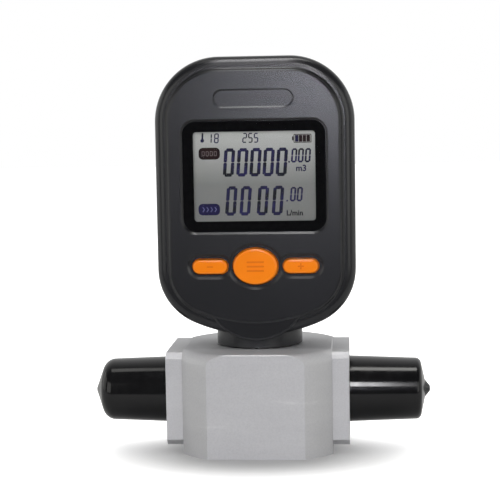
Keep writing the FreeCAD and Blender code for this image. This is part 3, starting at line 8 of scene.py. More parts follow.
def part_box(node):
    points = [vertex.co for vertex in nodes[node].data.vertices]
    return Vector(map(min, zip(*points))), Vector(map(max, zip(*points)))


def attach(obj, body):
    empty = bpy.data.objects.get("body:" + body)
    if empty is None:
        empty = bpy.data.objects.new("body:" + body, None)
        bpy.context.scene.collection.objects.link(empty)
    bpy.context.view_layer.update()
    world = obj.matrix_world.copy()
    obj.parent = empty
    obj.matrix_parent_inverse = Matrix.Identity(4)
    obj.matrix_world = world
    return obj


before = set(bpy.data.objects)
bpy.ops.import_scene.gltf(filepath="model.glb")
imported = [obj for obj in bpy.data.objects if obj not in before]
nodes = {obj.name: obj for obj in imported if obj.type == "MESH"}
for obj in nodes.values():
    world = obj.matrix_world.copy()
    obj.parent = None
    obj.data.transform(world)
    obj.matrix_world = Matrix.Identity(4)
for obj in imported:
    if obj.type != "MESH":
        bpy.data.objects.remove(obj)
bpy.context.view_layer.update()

# Flow block and end plates: aluminium, the block turned from bar and milled to four flats.
# All three are bead blasted and clear anodised, which leaves a fine, dull, even grain,
# with a few pale scuffs where the flats have been handled.
MICRON = 0.000001
PATTERN_MIDDLE = (0.3, 0.7)


def finish(name, colour, metallic, roughness):
    """Material with one Principled shader, its even values on the shader's own sockets."""
    made = bpy.data.materials.new(name)
    made.use_nodes = True
    shader = made.node_tree.nodes["Principled BSDF"]
    shader.inputs["Base Color"].default_value = (*colour, 1.0)
    shader.inputs["Metallic"].default_value = metallic
    shader.inputs["Roughness"].default_value = roughness
    return made


def pattern(made, scale, detail=2.0, stretch=(1.0, 1.0, 1.0)):
    """Noise fixed to the piece; scale counts its grains along a metre."""
    tree = made.node_tree
    place = tree.nodes.new("ShaderNodeTexCoord")
    fit = tree.nodes.new("ShaderNodeMapping")
    noise = tree.nodes.new("ShaderNodeTexNoise")
    fit.inputs["Scale"].default_value = stretch
    noise.inputs["Scale"].default_value = scale
    noise.inputs["Detail"].default_value = detail
    tree.links.new(place.outputs["Object"], fit.inputs["Vector"])
    tree.links.new(fit.outputs["Vector"], noise.inputs["Vector"])
    return noise.outputs["Fac"]


def spread(tree, source, ends, values, kind="LINEAR"):
    """Maps a value that runs between two ends onto two new values."""
    node = tree.nodes.new("ShaderNodeMapRange")
    node.interpolation_type = kind
    for socket, value in zip(("From Min", "From Max", "To Min", "To Max"), (*ends, *values)):
        node.inputs[socket].default_value = value
    tree.links.new(source, node.inputs["Value"])
    return node.outputs["Result"]


def tint(made, source, dark, light, low=0.35, high=0.65):
    """The base colour runs from dark to light with the pattern; returns the run of colours."""
    tree = made.node_tree
    ramp = tree.nodes.new("ShaderNodeValToRGB")
    for element, position, colour in zip(ramp.color_ramp.elements, (low, high), (dark, light)):
        element.position = position
        element.color = (*colour, 1.0)
    tree.links.new(source, ramp.inputs["Fac"])
    tree.links.new(ramp.outputs["Color"], tree.nodes["Principled BSDF"].inputs["Base Color"])
    return ramp.color_ramp


def dull(made, source, low, high):
    """The roughness runs from low to high over the middle of the pattern."""
    tree = made.node_tree
    roughness = spread(tree, source, PATTERN_MIDDLE, (low, high))
    tree.links.new(roughness, tree.nodes["Principled BSDF"].inputs["Roughness"])


def grain(made, source, depth):
    """Relief of the pattern, depth in metres, laid over any relief already there."""
    tree = made.node_tree
    surface = tree.nodes["Principled BSDF"].inputs["Normal"]
    bump = tree.nodes.new("ShaderNodeBump")
    bump.inputs["Distance"].default_value = depth
    if surface.is_linked:
        tree.links.new(surface.links[0].from_socket, bump.inputs["Normal"])
    tree.links.new(source, bump.inputs["Height"])
    tree.links.new(bump.outputs["Normal"], surface)


def dress(made, *names):
    """Gives solids of the object this finish."""
    for name in names:
        nodes[name].data.materials.clear()
        nodes[name].data.materials.append(made)


SCUFF_STRETCH = (0.5, 0.5, 2.2)
SCUFF_FROM = 0.7
blasted = finish("blasted_aluminium", colour=(0.6, 0.6, 0.61), metallic=0.9, roughness=0.62)
scuffs = pattern(blasted, 75.0, detail=4.0, stretch=SCUFF_STRETCH)
block_colours = tint(blasted, scuffs, (0.588, 0.588, 0.601), (0.612, 0.612, 0.623), high=0.64)
block_colours.elements.new(SCUFF_FROM).color = (0.67, 0.67, 0.676, 1.0)
dull(blasted, pattern(blasted, 1800.0), 0.56, 0.7)
grain(blasted, pattern(blasted, 3200.0, detail=1.0), 6 * MICRON)
grain(blasted, pattern(blasted, 260.0), 7 * MICRON)
dress(blasted, "flow_body", "inlet_fitting", "outlet_fitting")

# Screws: stainless steel, cold headed and rolled. They hold the plates, the spigot, the sensor,
# the shells, the board and the door, and the hardened stop pin has the same ground finish.
stainless = finish("stainless_steel", colour=(0.52, 0.52, 0.53), metallic=1.0, roughness=0.3)
tint(stainless, pattern(stainless, 420.0, detail=3.0), (0.46, 0.46, 0.47), (0.58, 0.58, 0.59))
dull(stainless, pattern(stainless, 900.0, detail=3.0, stretch=(1.0, 1.0, 6.0)), 0.22, 0.4)
grain(stainless, pattern(stainless, 2600.0), 4 * MICRON)
dress(stainless, "flange_screws", "sensor_screws", "spigot_screws", "stop_pin")
dress(stainless, "case_screws", "board_screws", "door_screws")

# Flow path: woven steel screens, a moulded nylon honeycomb and black seal cords.
# They sit in the bores and show down the nipples once the caps are off. The washers and the
# sensor's connectors are moulded from the same nylon, and the case's cord from the same rubber.
woven_wire = finish("screen_wire", colour=(0.66, 0.66, 0.63), metallic=1.0, roughness=0.32)
tint(woven_wire, pattern(woven_wire, 900.0), (0.58, 0.58, 0.55), (0.72, 0.72, 0.69))
grain(woven_wire, pattern(woven_wire, 3000.0), 6 * MICRON)
dress(woven_wire, "flow_screens")

nylon = finish("natural_nylon", colour=(0.7, 0.68, 0.62), metallic=0.0, roughness=0.45)
tint(nylon, pattern(nylon, 140.0, detail=3.0), (0.66, 0.64, 0.57), (0.73, 0.72, 0.67))
grain(nylon, pattern(nylon, 1900.0), 6 * MICRON)
dress(nylon, "flow_straightener", "sensor_header", "thrust_washer", "friction_washer", "sensor_socket")

seal_rubber = finish("seal_rubber", colour=(0.022, 0.022, 0.022), metallic=0.0, roughness=0.7)
tint(seal_rubber, pattern(seal_rubber, 700.0, detail=3.0), (0.016, 0.016, 0.016), (0.032, 0.032, 0.032))
grain(seal_rubber, pattern(seal_rubber, 2400.0), 10 * MICRON)
dress(seal_rubber, "flange_seals", "sensor_seal", "case_gasket", "lcd_strip")

# Sensor: a moulded black carrier with the bare silicon chip on its blade and a small board on top.
# Two screws hold it down in the chamber under the spigot. The display's holder and the switch
# plungers are moulded from the same black plastic.
holder_plastic = finish("holder_plastic", colour=(0.022, 0.022, 0.023), metallic=0.0, roughness=0.5)
tint(holder_plastic, pattern(holder_plastic, 90.0, detail=3.0), (0.018, 0.018, 0.019), (0.028, 0.028, 0.03))
grain(holder_plastic, pattern(holder_plastic, 2200.0), 8 * MICRON)
dress(holder_plastic, "sensor_carrier", "lcd_frame", "minus_plunger", "centre_plunger", "plus_plunger")

silicon = finish("sensor_silicon", colour=(0.09, 0.09, 0.13), metallic=0.6, roughness=0.12)
tint(silicon, pattern(silicon, 1600.0, detail=0.0), (0.06, 0.07, 0.13), (0.14, 0.12, 0.16))
dress(silicon, "sensor_chip")

# Thread protectors: soft black vinyl, dipped over a former, so the wall is a little wavy and very glossy.
# They are pushed over the pipe threads and end in the drip that set last.


def gloss(made, level):
    """Sets how strongly a surface mirrors, 0.5 being common plastic."""
    made.node_tree.nodes["Principled BSDF"].inputs["Specular IOR Level"].default_value = level


vinyl = finish("dipped_vinyl", colour=(0.005, 0.005, 0.0055), metallic=0.0, roughness=0.12)
gloss(vinyl, 0.4)
tint(vinyl, pattern(vinyl, 60.0, detail=3.0), (0.004, 0.004, 0.0045), (0.007, 0.007, 0.0075))
dull(vinyl, pattern(vinyl, 300.0, detail=3.0), 0.1, 0.16)
grain(vinyl, pattern(vinyl, 70.0, detail=1.0, stretch=(0.5, 1.0, 1.0)), 50 * MICRON)
grain(vinyl, pattern(vinyl, 900.0), 3 * MICRON)
dress(vinyl, "inlet_cap", "outlet_cap")

# Swivel: an aluminium spigot, turned with its fine tool marks left on, is screwed to the block.
# A slotted brass ring nut on its thread clamps the neck, which turns between two nylon washers.
turned_metal = finish("turned_aluminium", colour=(0.7, 0.7, 0.71), metallic=1.0, roughness=0.28)
turning = pattern(turned_metal, 300.0, stretch=(1.0, 1.0, 8.0))
tint(turned_metal, turning, (0.64, 0.64, 0.65), (0.75, 0.75, 0.76))
grain(turned_metal, pattern(turned_metal, 500.0, detail=1.0, stretch=(0.2, 0.2, 8.0)), 6 * MICRON)
dress(turned_metal, "swivel_spigot")

brass = finish("turned_brass", colour=(0.68, 0.46, 0.17), metallic=1.0, roughness=0.28)
tint(brass, pattern(brass, 260.0, detail=3.0), (0.6, 0.4, 0.14), (0.74, 0.52, 0.2))
grain(brass, pattern(brass, 1500.0), 5 * MICRON)
dress(brass, "swivel_nut")

# Head shells, neck and battery door: dark grey moulded plastic with a fine spark-eroded grain.
# The shells meet at a beveled parting line and four screws from the back close them.
shell_plastic = finish("shell_plastic", colour=(0.01, 0.0103, 0.0118), metallic=0.0, roughness=0.26)
shade = pattern(shell_plastic, 45.0, detail=3.0)
tint(shell_plastic, shade, (0.009, 0.0093, 0.0106), (0.011, 0.0113, 0.013))
dull(shell_plastic, pattern(shell_plastic, 1400.0), 0.255, 0.27)
grain(shell_plastic, pattern(shell_plastic, 2600.0, detail=1.0), 1.4 * MICRON)
dress(shell_plastic, "front_case", "rear_case", "battery_door", "neck_collar")

# Window: a clear acrylic pane that drops into its seat, with a black border printed on the back.
# Lamps pass straight through the pane, so that the display behind it is lit.
clear_pane = finish("clear_acrylic", colour=(0.97, 0.98, 0.98), metallic=0.0, roughness=0.02)
grain(clear_pane, pattern(clear_pane, 40.0, detail=1.0), 4 * MICRON)
pane_tree = clear_pane.node_tree
pane_shader = pane_tree.nodes["Principled BSDF"]
pane_shader.inputs["Transmission Weight"].default_value = 1.0
pane_shader.inputs["IOR"].default_value = 1.4
open_way = pane_tree.nodes.new("ShaderNodeBsdfTransparent")
lamp_ray = pane_tree.nodes.new("ShaderNodeLightPath")
pass_lamps = pane_tree.nodes.new("ShaderNodeMixShader")
pane_tree.links.new(lamp_ray.outputs["Is Shadow Ray"], pass_lamps.inputs["Fac"])
pane_tree.links.new(pane_shader.outputs["BSDF"], pass_lamps.inputs[1])
pane_tree.links.new(open_way.outputs["BSDF"], pass_lamps.inputs[2])
pane_tree.links.new(pass_lamps.outputs["Shader"], pane_tree.nodes["Material Output"].inputs["Surface"])
dress(clear_pane, "display_window")

border_print = finish("border_print", colour=(0.004, 0.004, 0.005), metallic=0.0, roughness=0.6)
gloss(border_print, 0.02)
tint(border_print, pattern(border_print, 600.0, detail=3.0), (0.003, 0.003, 0.004), (0.006, 0.006, 0.007))
dress(border_print, "window_mask")

# Display: liquid-crystal glass with a silver-grey reflector behind it and a moulded light guide.
# A black holder clips it to the board. The pane in front takes most of the gloss off it.
# Its grey is painted lighter towards its top: a painted highlight where the lamps shine on it.
UNDER_GLASS = 0.1


def up_the_piece(made, name):
    """Height on a solid of the object, 0 at its foot and 1 at its top."""
    tree = made.node_tree
    place = tree.nodes.new("ShaderNodeTexCoord")
    axes = tree.nodes.new("ShaderNodeSeparateXYZ")
    low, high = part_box(name)
    tree.links.new(place.outputs["Object"], axes.inputs["Vector"])
    return spread(tree, axes.outputs["Z"], (low.z, high.z), (0.0, 1.0))


display_grey = finish("display_grey", colour=(0.165, 0.167, 0.157), metallic=0.0, roughness=0.3)
gloss(display_grey, UNDER_GLASS)
# Painted highlight: the display's grey runs from dark at its foot to much lighter at its top.
display_painted_highlight = up_the_piece(display_grey, "lcd_glass")
tint(display_grey, display_painted_highlight, (0.168, 0.17, 0.16), (0.411, 0.415, 0.393), low=0.42, high=0.95)
dull(display_grey, pattern(display_grey, 1500.0), 0.26, 0.38)
grain(display_grey, pattern(display_grey, 4000.0, detail=0.0), 3 * MICRON)
dress(display_grey, "lcd_glass")

light_guide = finish("light_guide", colour=(0.8, 0.8, 0.8), metallic=0.0, roughness=0.25)
tint(light_guide, pattern(light_guide, 500.0), (0.76, 0.76, 0.77), (0.84, 0.84, 0.83))
dress(light_guide, "lcd_backlight")

# Display figures: two rows of noughts and a row of small numbers that the liquid crystal shows.
# Each is a set of flat bars with a slight rise, drawn on the front of the display glass,
# and leans a little to the right. Places are millimetres from the middle of the display.
MM = 0.001
MARK_RISE = 0.05 * MM
BAR_GAP = 0.12 * MM
BAR_POINT = 0.24
FIGURE_STROKE = 1.18 * MM
SMALL_STROKE = 0.63 * MM
STATUS_STROKE = 0.4 * MM
LIT_BARS = {"0": "abcdef", "1": "bc", "2": "abged", "5": "afgcd", "8": "abcdefg"}


def middle(name):
    """Middle of a solid of the object."""
    low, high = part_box(name)
    return (low + high) / 2


DISPLAY_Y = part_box("lcd_glass")[0].y
DISPLAY_Z = middle("lcd_glass").z


def open_marks(name):
    """Starts a piece made of flat marks and leaves it open for editing, empty."""
    bpy.ops.object.select_all(action="DESELECT")
    bpy.ops.mesh.primitive_plane_add(size=MM)
    piece = bpy.context.object
    piece.name = name
    bpy.ops.object.mode_set(mode="EDIT")
    bpy.ops.mesh.delete(type="VERT")
    return piece


def flat_bar(x, y, z, wide, high, corner, steps=1):
    """Adds a bar that faces the front, its corners cut back or rounded."""
    bpy.ops.mesh.primitive_plane_add(size=1.0, location=(x, y, z), rotation=(math.pi / 2, 0.0, 0.0))
    bpy.ops.transform.resize(value=(wide, 1.0, high), center_override=(x, y, z))
    bpy.ops.mesh.bevel(offset=corner, segments=steps, affect="VERTICES")


def display_bar(x, z, wide, high, corner, steps=1, y=DISPLAY_Y):
    """Adds a bar on the display, its sizes and its place from the middle in millimetres."""
    flat_bar(x * MM, y, DISPLAY_Z + z * MM, wide * MM, high * MM, corner * MM, steps)


def figure(character, left, foot, wide, high, stroke):
    """Adds the lit bars of one seven-bar figure; left and foot are its lower left corner."""
    middle_x = left + wide / 2
    middle_z = foot + high / 2
    half = (high - stroke) / 2
    right_x = left + wide - stroke / 2
    left_x = left + stroke / 2
    level = (wide - stroke - BAR_GAP, stroke)
    upright = (stroke, half - BAR_GAP)
    places = {
        "a": (middle_x, foot + high - stroke / 2, level),
        "b": (right_x, middle_z + half / 2, upright),
        "c": (right_x, middle_z - half / 2, upright),
        "d": (middle_x, foot + stroke / 2, level),
        "e": (left_x, middle_z - half / 2, upright),
        "f": (left_x, middle_z + half / 2, upright),
        "g": (middle_x, middle_z, level),
    }
    for bar in LIT_BARS[character]:
        x, z, size = places[bar]
        flat_bar(x, DISPLAY_Y, z, *size, BAR_POINT * stroke)


def display_figures(text, lefts, foot, wide, high, stroke):
    """Adds figures side by side on one foot, in millimetres from the middle of the display."""
    for character, left in zip(text, lefts):
        figure(character, left * MM, DISPLAY_Z + foot * MM, wide * MM, high * MM, stroke)


def close_marks(piece, made, rise, body, lean=0.0, foot=0.0):
    """Leans the marks to the right, gives them their rise and fixes them to their body."""
    bpy.ops.object.mode_set(mode="OBJECT")
    for corner in piece.data.vertices:
        corner.co.x += (corner.co.z - foot) * lean
    thicken = piece.modifiers.new("rise", "SOLIDIFY")
    thicken.thickness = rise
    thicken.offset = 1.0
    bpy.ops.object.modifier_apply(modifier="rise")
    piece.data.materials.append(made)
    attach(piece, body)


crystal_ink = finish("crystal_navy", colour=(0.012, 0.012, 0.026), metallic=0.0, roughness=0.6)
gloss(crystal_ink, UNDER_GLASS)
tint(crystal_ink, pattern(crystal_ink, 210.0, detail=1.0), (0.008, 0.008, 0.011), (0.018, 0.016, 0.06))

TOTAL_FOOT = -0.1
TOTAL_LEAN = 0.08
TOTAL_LEFTS = (-11.07, -6.42, -1.89, 2.64, 7.19)
total_marks = open_marks("display_total_figures")
display_figures("00000", TOTAL_LEFTS, TOTAL_FOOT, wide=3.78, high=9.8, stroke=FIGURE_STROKE)
display_figures("000", (12.2, 14.5, 16.9), 4.5, wide=2.0, high=4.9, stroke=SMALL_STROKE)
display_bar(11.6, 4.75, wide=0.6, high=0.6, corner=0.15)
close_marks(
    total_marks,
    crystal_ink,
    MARK_RISE,
    "display_head",
    lean=TOTAL_LEAN,
    foot=DISPLAY_Z + TOTAL_FOOT * MM,
)

RATE_FOOT = -13.6
RATE_LEAN = 0.085
RATE_LEFTS = (-10.52, -5.54, 0.43, 5.64)
rate_marks = open_marks("display_flow_figures")
display_figures("0000", RATE_LEFTS, RATE_FOOT, wide=3.75, high=10.2, stroke=FIGURE_STROKE)
display_figures("00", (11.6, 13.9), -8.9, wide=2.0, high=5.0, stroke=SMALL_STROKE)
display_bar(10.7, -8.65, wide=0.55, high=0.55, corner=0.15)
close_marks(
    rate_marks,
    crystal_ink,
    MARK_RISE,
    "display_head",
    lean=RATE_LEAN,
    foot=DISPLAY_Z + RATE_FOOT * MM,
)

STATUS_FOOT = 11.5
STATUS_LEAN = 0.06
BULB_X = -18.0
BULB_RISE = 12.45
BULB_RADIUS = 0.65
STATUS_LEFTS = (-16.3, -13.9, -4.1, -2.15, -0.2)
status_marks = open_marks("display_status_signs")
display_figures("18255", STATUS_LEFTS, STATUS_FOOT, wide=1.6, high=3.4, stroke=STATUS_STROKE)
display_bar(BULB_X, 13.9, wide=0.6, high=2.4, corner=0.29, steps=5)
bpy.ops.mesh.primitive_circle_add(
    vertices=28,
    radius=BULB_RADIUS * MM,
    fill_type="NGON",
    location=(BULB_X * MM, DISPLAY_Y, DISPLAY_Z + BULB_RISE * MM),
    rotation=(math.pi / 2, 0.0, 0.0),
)
close_marks(
    status_marks,
    crystal_ink,
    MARK_RISE,
    "display_head",
    lean=STATUS_LEAN,
    foot=DISPLAY_Z + STATUS_FOOT * MM,
)

# Display signs with a colour of their own: a battery, and one pill beside each row of figures.
# The pills hold plain signs in a paler shade, a counter's windows and running arrows.


def crystal(name, colour, dark, light, scale):
    """Finish of a coloured sign on the display."""
    made = finish(name, colour, metallic=0.0, roughness=0.6)
    gloss(made, UNDER_GLASS)
    tint(made, pattern(made, scale, detail=1.0), dark, light)
    return made


crystal_brown = crystal(
    "crystal_brown", (0.013, 0.006, 0.006), (0.01, 0.005, 0.006), (0.017, 0.007, 0.007), scale=260.0
)
crystal_blue = crystal(
    "crystal_blue", (0.009, 0.007, 0.038), (0.007, 0.006, 0.03), (0.012, 0.01, 0.048), scale=260.0
)
pale_brown = crystal(
    "crystal_pale_brown", (0.11, 0.085, 0.085), (0.1, 0.076, 0.076), (0.12, 0.094, 0.094), scale=400.0
)
pale_blue = crystal(
    "crystal_pale_blue", (0.1, 0.1, 0.22), (0.09, 0.09, 0.2), (0.11, 0.11, 0.24), scale=400.0
)

BATTERY_RISE = 12.8
BATTERY_WALL = 0.26
FIRST_BAR_X = 14.72
BATTERY_BAR_PITCH = 1.32
BATTERY_BAR = (1.2, 2.3, 0.1)
battery_sign = open_marks("display_battery_sign")
display_bar(16.7, BATTERY_RISE, wide=6.1, high=3.0, corner=0.3, steps=3)
bpy.ops.mesh.inset(thickness=BATTERY_WALL * MM)
bpy.ops.mesh.delete(type="FACE")
display_bar(13.35, BATTERY_RISE, wide=0.5, high=1.4, corner=0.1)
for step in (1, 2, 3):
    display_bar(FIRST_BAR_X + BATTERY_BAR_PITCH * step, BATTERY_RISE, *BATTERY_BAR)
close_marks(battery_sign, crystal_brown, MARK_RISE, "display_head")

battery_bar = open_marks("display_battery_bar")
display_bar(FIRST_BAR_X, BATTERY_RISE, *BATTERY_BAR)
close_marks(battery_bar, crystal_blue, MARK_RISE, "display_head")

TOTAL_PILL_RISE = 7.95
FLOW_PILL_RISE = -11.4
PILL_CORNER = 1.5
PILL_STEPS = 8
SIGN_Y = DISPLAY_Y - MARK_RISE
SIGN_COUNT = 4
SIGN_PITCH = 1.4
total_pill = open_marks("display_total_pill")
display_bar(-15.6, TOTAL_PILL_RISE, wide=7.4, high=4.1, corner=PILL_CORNER, steps=PILL_STEPS)
close_marks(total_pill, crystal_brown, MARK_RISE, "display_head")

flow_pill = open_marks("display_flow_pill")
display_bar(-15.95, FLOW_PILL_RISE, wide=7.5, high=4.0, corner=PILL_CORNER, steps=PILL_STEPS)
close_marks(flow_pill, crystal_blue, MARK_RISE, "display_head")

WINDOW_LEFT = -17.7
WINDOW_WALL = 0.24
pill_signs = open_marks("display_pill_signs")
for step in range(SIGN_COUNT):
    x = WINDOW_LEFT + SIGN_PITCH * step
    display_bar(x, TOTAL_PILL_RISE, wide=1.0, high=1.7, corner=0.15, steps=2, y=SIGN_Y)
    bpy.ops.mesh.inset(thickness=WINDOW_WALL * MM)
    bpy.ops.mesh.delete(type="FACE")
close_marks(pill_signs, pale_brown, MARK_RISE / 2, "display_head")

ARROW_LEFT = -17.9
ARROW_HALF = 0.42
ARROW_SLANT = math.radians(35)
flow_arrows = open_marks("display_flow_arrows")
for step in range(SIGN_COUNT):
    x = ARROW_LEFT + SIGN_PITCH * step
    for side in (-1, 1):
        z = FLOW_PILL_RISE + ARROW_HALF * side
        pivot = (x * MM, SIGN_Y, DISPLAY_Z + z * MM)
        display_bar(x, z, wide=0.28, high=1.1, corner=0.08, y=SIGN_Y)
        bpy.ops.transform.rotate(value=side * ARROW_SLANT, orient_axis="Y", center_override=pivot)
close_marks(flow_arrows, pale_blue, MARK_RISE / 2, "display_head")

# Units: small letters beside the figures, part of the same liquid crystal.
# They are drawn a little bold, flat on the glass, with the same slight rise.
CAPITAL_SHARE = 0.7
LETTER_BOLD = 0.07 * MM


def unit_sign(name, text, x, z, high):
    """Adds a unit's letters, made a flat mesh, with their middle at x and their foot at z."""
    bpy.ops.object.select_all(action="DESELECT")
    bpy.ops.object.text_add()
    sign = bpy.context.object
    sign.name = name
    sign.data.body = text
    sign.data.align_x = "CENTER"
    sign.data.size = high * MM / CAPITAL_SHARE
    sign.data.offset = LETTER_BOLD
    bpy.ops.object.convert(target="MESH")
    sign = bpy.context.object
    place = Matrix.Translation((x * MM, DISPLAY_Y, DISPLAY_Z + z * MM))
    sign.data.transform(place @ Matrix.Rotation(math.pi / 2, 4, "X"))
    bpy.ops.object.mode_set(mode="EDIT")
    close_marks(sign, crystal_ink, MARK_RISE, "display_head")


unit_sign("display_volume_unit", "m3", 16.1, 1.6, high=2.05)
unit_sign("display_rate_unit", "L/min", 13.7, -13.7, high=1.8)

# Keys: orange moulded plastic with a smooth face. Each pushes a switch on the board through a short stem,
# and carries a plain raised sign in a slightly deeper orange.
key_orange = finish("key_orange", colour=(0.95, 0.235, 0.006), metallic=0.0, roughness=0.18)
gloss(key_orange, 0.4)
tint(key_orange, pattern(key_orange, 70.0), (0.93, 0.228, 0.005), (0.97, 0.243, 0.007))
dull(key_orange, pattern(key_orange, 1200.0), 0.16, 0.2)
grain(key_orange, pattern(key_orange, 2600.0, detail=1.0), 2 * MICRON)
dress(key_orange, "minus_key", "centre_key", "plus_key")

sign_orange = finish("key_sign_orange", colour=(0.76, 0.16, 0.005), metallic=0.0, roughness=0.25)
gloss(sign_orange, 0.2)
tint(sign_orange, pattern(sign_orange, 90.0), (0.73, 0.15, 0.004), (0.79, 0.17, 0.006))
grain(sign_orange, pattern(sign_orange, 2600.0, detail=1.0), 6 * MICRON)

KEY_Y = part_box("centre_key")[0].y
SIGN_RISE = 0.12 * MM


def key_bar(key, rise, wide, high, corner, steps):
    """Adds a bar on the front of a key, rise millimetres above its middle."""
    place = middle(key)
    flat_bar(place.x, KEY_Y, place.z + rise * MM, wide * MM, high * MM, corner * MM, steps)


for key in ("minus_key", "plus_key"):
    side_sign = open_marks(key + "_sign")
    key_bar(key, 0.0, wide=2.2, high=0.5, corner=0.2, steps=3)
    if key == "plus_key":
        for arm in (-0.7, 0.7):
            key_bar(key, arm, wide=0.5, high=0.8, corner=0.15, steps=2)
    close_marks(side_sign, sign_orange, SIGN_RISE, key)

menu_sign = open_marks("centre_key_sign")
for rise in (-1.5, 0.0, 1.5):
    key_bar("centre_key", rise, wide=6.0, high=0.6, corner=0.28, steps=4)
close_marks(menu_sign, sign_orange, SIGN_RISE, "centre_key")

# Circuit board: green masked laminate with moulded black chips and push switches soldered on.
# Screws hold it to posts in the front shell, and the sensor's grey lead comes up to it through the neck.
board_green = finish("board_green", colour=(0.015, 0.12, 0.045), metallic=0.0, roughness=0.3)
tracks = pattern(board_green, 320.0, detail=0.0, stretch=(1.0, 1.0, 0.15))
tint(board_green, tracks, (0.012, 0.09, 0.035), (0.025, 0.17, 0.06))
grain(board_green, tracks, 20 * MICRON)
dress(board_green, "main_board", "sensor_board")

chip_black = finish("chip_black", colour=(0.018, 0.018, 0.018), metallic=0.0, roughness=0.55)
tint(chip_black, pattern(chip_black, 800.0, detail=3.0), (0.014, 0.014, 0.014), (0.026, 0.026, 0.026))
grain(chip_black, pattern(chip_black, 2800.0), 10 * MICRON)
dress(chip_black, "board_chips", "switch_bodies")

lead_jacket = finish("lead_jacket", colour=(0.1, 0.1, 0.1), metallic=0.0, roughness=0.5)
tint(lead_jacket, pattern(lead_jacket, 500.0), (0.08, 0.08, 0.08), (0.12, 0.12, 0.12))
dress(lead_jacket, "sensor_cable")

# Cells and contacts: three AA cells in printed sleeves with bare steel ends, held between
# nickelled spring-steel plates and coned springs behind the door.
STEEL_END = (0.55, 0.55, 0.53)
COPPER_BAND = (0.6, 0.36, 0.09)
NAVY_SLEEVE = (0.02, 0.035, 0.1)
cell_sleeve = finish("cell_sleeve", colour=(0.03, 0.05, 0.14), metallic=0.35, roughness=0.3)
cell_height = up_the_piece(cell_sleeve, "battery_cells")
cell_bands = tint(cell_sleeve, cell_height, STEEL_END, COPPER_BAND, low=0.0, high=0.13)
cell_bands.interpolation = "CONSTANT"
for position, colour in ((0.2, NAVY_SLEEVE), (0.8, COPPER_BAND), (0.87, STEEL_END)):
    cell_bands.elements.new(position).color = (*colour, 1.0)
dull(cell_sleeve, pattern(cell_sleeve, 500.0), 0.24, 0.38)
dress(cell_sleeve, "battery_cells")

nickelled = finish("nickelled_steel", colour=(0.66, 0.65, 0.61), metallic=1.0, roughness=0.25)
tint(nickelled, pattern(nickelled, 300.0, detail=3.0), (0.6, 0.59, 0.55), (0.7, 0.69, 0.65))
grain(nickelled, pattern(nickelled, 1600.0), 4 * MICRON)
dress(nickelled, "contact_plates", "contact_springs")

# Table: plain matt white. Away from the object it glows to the camera, so that it runs into the
# background; in an oval round the foot it doesn't, and the object's own shadow shows there.
TABLE_WIDTH = 4.0
TABLE_DEPTH = 2.8
TABLE_FRONT = -0.12
SHADE_HALF_WIDTH = 0.061
SHADE_HALF_DEPTH = 0.039
SHADE_FORWARD = 0.02
SHADE_FADE = (0.3, 1.2)
bpy.ops.object.select_all(action="DESELECT")
bpy.ops.mesh.primitive_plane_add(size=1.0, location=(0.0, 0.0, 0.0))
table = bpy.context.object
table.name = "white_table"
bpy.ops.object.mode_set(mode="EDIT")
bpy.ops.transform.resize(value=(TABLE_WIDTH, TABLE_DEPTH, 1.0), center_override=(0.0, 0.0, 0.0))
bpy.ops.transform.translate(value=(0.0, TABLE_FRONT + TABLE_DEPTH / 2, 0.0))
bpy.ops.object.mode_set(mode="OBJECT")
table_white = finish("table_white", colour=(0.62, 0.62, 0.62), metallic=0.0, roughness=0.9)
tint(table_white, pattern(table_white, 30.0), (0.61, 0.61, 0.61), (0.63, 0.63, 0.63))
table_tree = table_white.node_tree
table_glow = table_tree.nodes.new("ShaderNodeEmission")
table_ray = table_tree.nodes.new("ShaderNodeLightPath")
table_sum = table_tree.nodes.new("ShaderNodeAddShader")
table_place = table_tree.nodes.new("ShaderNodeTexCoord")
table_oval = table_tree.nodes.new("ShaderNodeMapping")
table_oval.inputs["Scale"].default_value = (1 / SHADE_HALF_WIDTH, 1 / SHADE_HALF_DEPTH, 0.0)
table_oval.inputs["Location"].default_value = (0.0, SHADE_FORWARD / SHADE_HALF_DEPTH, 0.0)
table_reach = table_tree.nodes.new("ShaderNodeVectorMath")
table_reach.operation = "LENGTH"
table_level = table_tree.nodes.new("ShaderNodeMath")
table_level.operation = "MULTIPLY"
table_tree.links.new(table_place.outputs["Object"], table_oval.inputs["Vector"])
table_tree.links.new(table_oval.outputs["Vector"], table_reach.inputs[0])
table_fade = spread(table_tree, table_reach.outputs["Value"], SHADE_FADE, (0.0, 1.0), "SMOOTHSTEP")
table_tree.links.new(table_fade, table_level.inputs[0])
table_tree.links.new(table_ray.outputs["Is Camera Ray"], table_level.inputs[1])
table_tree.links.new(table_level.outputs["Value"], table_glow.inputs["Strength"])
table_tree.links.new(table_tree.nodes["Principled BSDF"].outputs["BSDF"], table_sum.inputs[0])
table_tree.links.new(table_glow.outputs["Emission"], table_sum.inputs[1])
table_tree.links.new(table_sum.outputs["Shader"], table_tree.nodes["Material Output"].inputs["Surface"])
table.data.materials.append(table_white)

# Room: pale behind the object and dark behind the camera, so that the dark face mirrors little of it.
# The camera itself sees it white all round.
ROOM_DEPTH = (-0.3, 0.8)
ROOM_LEVELS = (0.05, 0.85)
room = bpy.data.worlds.new("pale_room")
bpy.context.scene.world = room
room.use_nodes = True
room_tree = room.node_tree
room_light = room_tree.nodes["Background"]
room_light.inputs["Color"].default_value = (1.0, 1.0, 1.0, 1.0)
room_way = room_tree.nodes.new("ShaderNodeTexCoord")
room_axes = room_tree.nodes.new("ShaderNodeSeparateXYZ")
room_ray = room_tree.nodes.new("ShaderNodeLightPath")
room_most = room_tree.nodes.new("ShaderNodeMath")
room_most.operation = "MAXIMUM"
room_tree.links.new(room_way.outputs["Generated"], room_axes.inputs["Vector"])
room_level = spread(room_tree, room_axes.outputs["Y"], ROOM_DEPTH, ROOM_LEVELS, "SMOOTHSTEP")
room_tree.links.new(room_level, room_most.inputs[0])
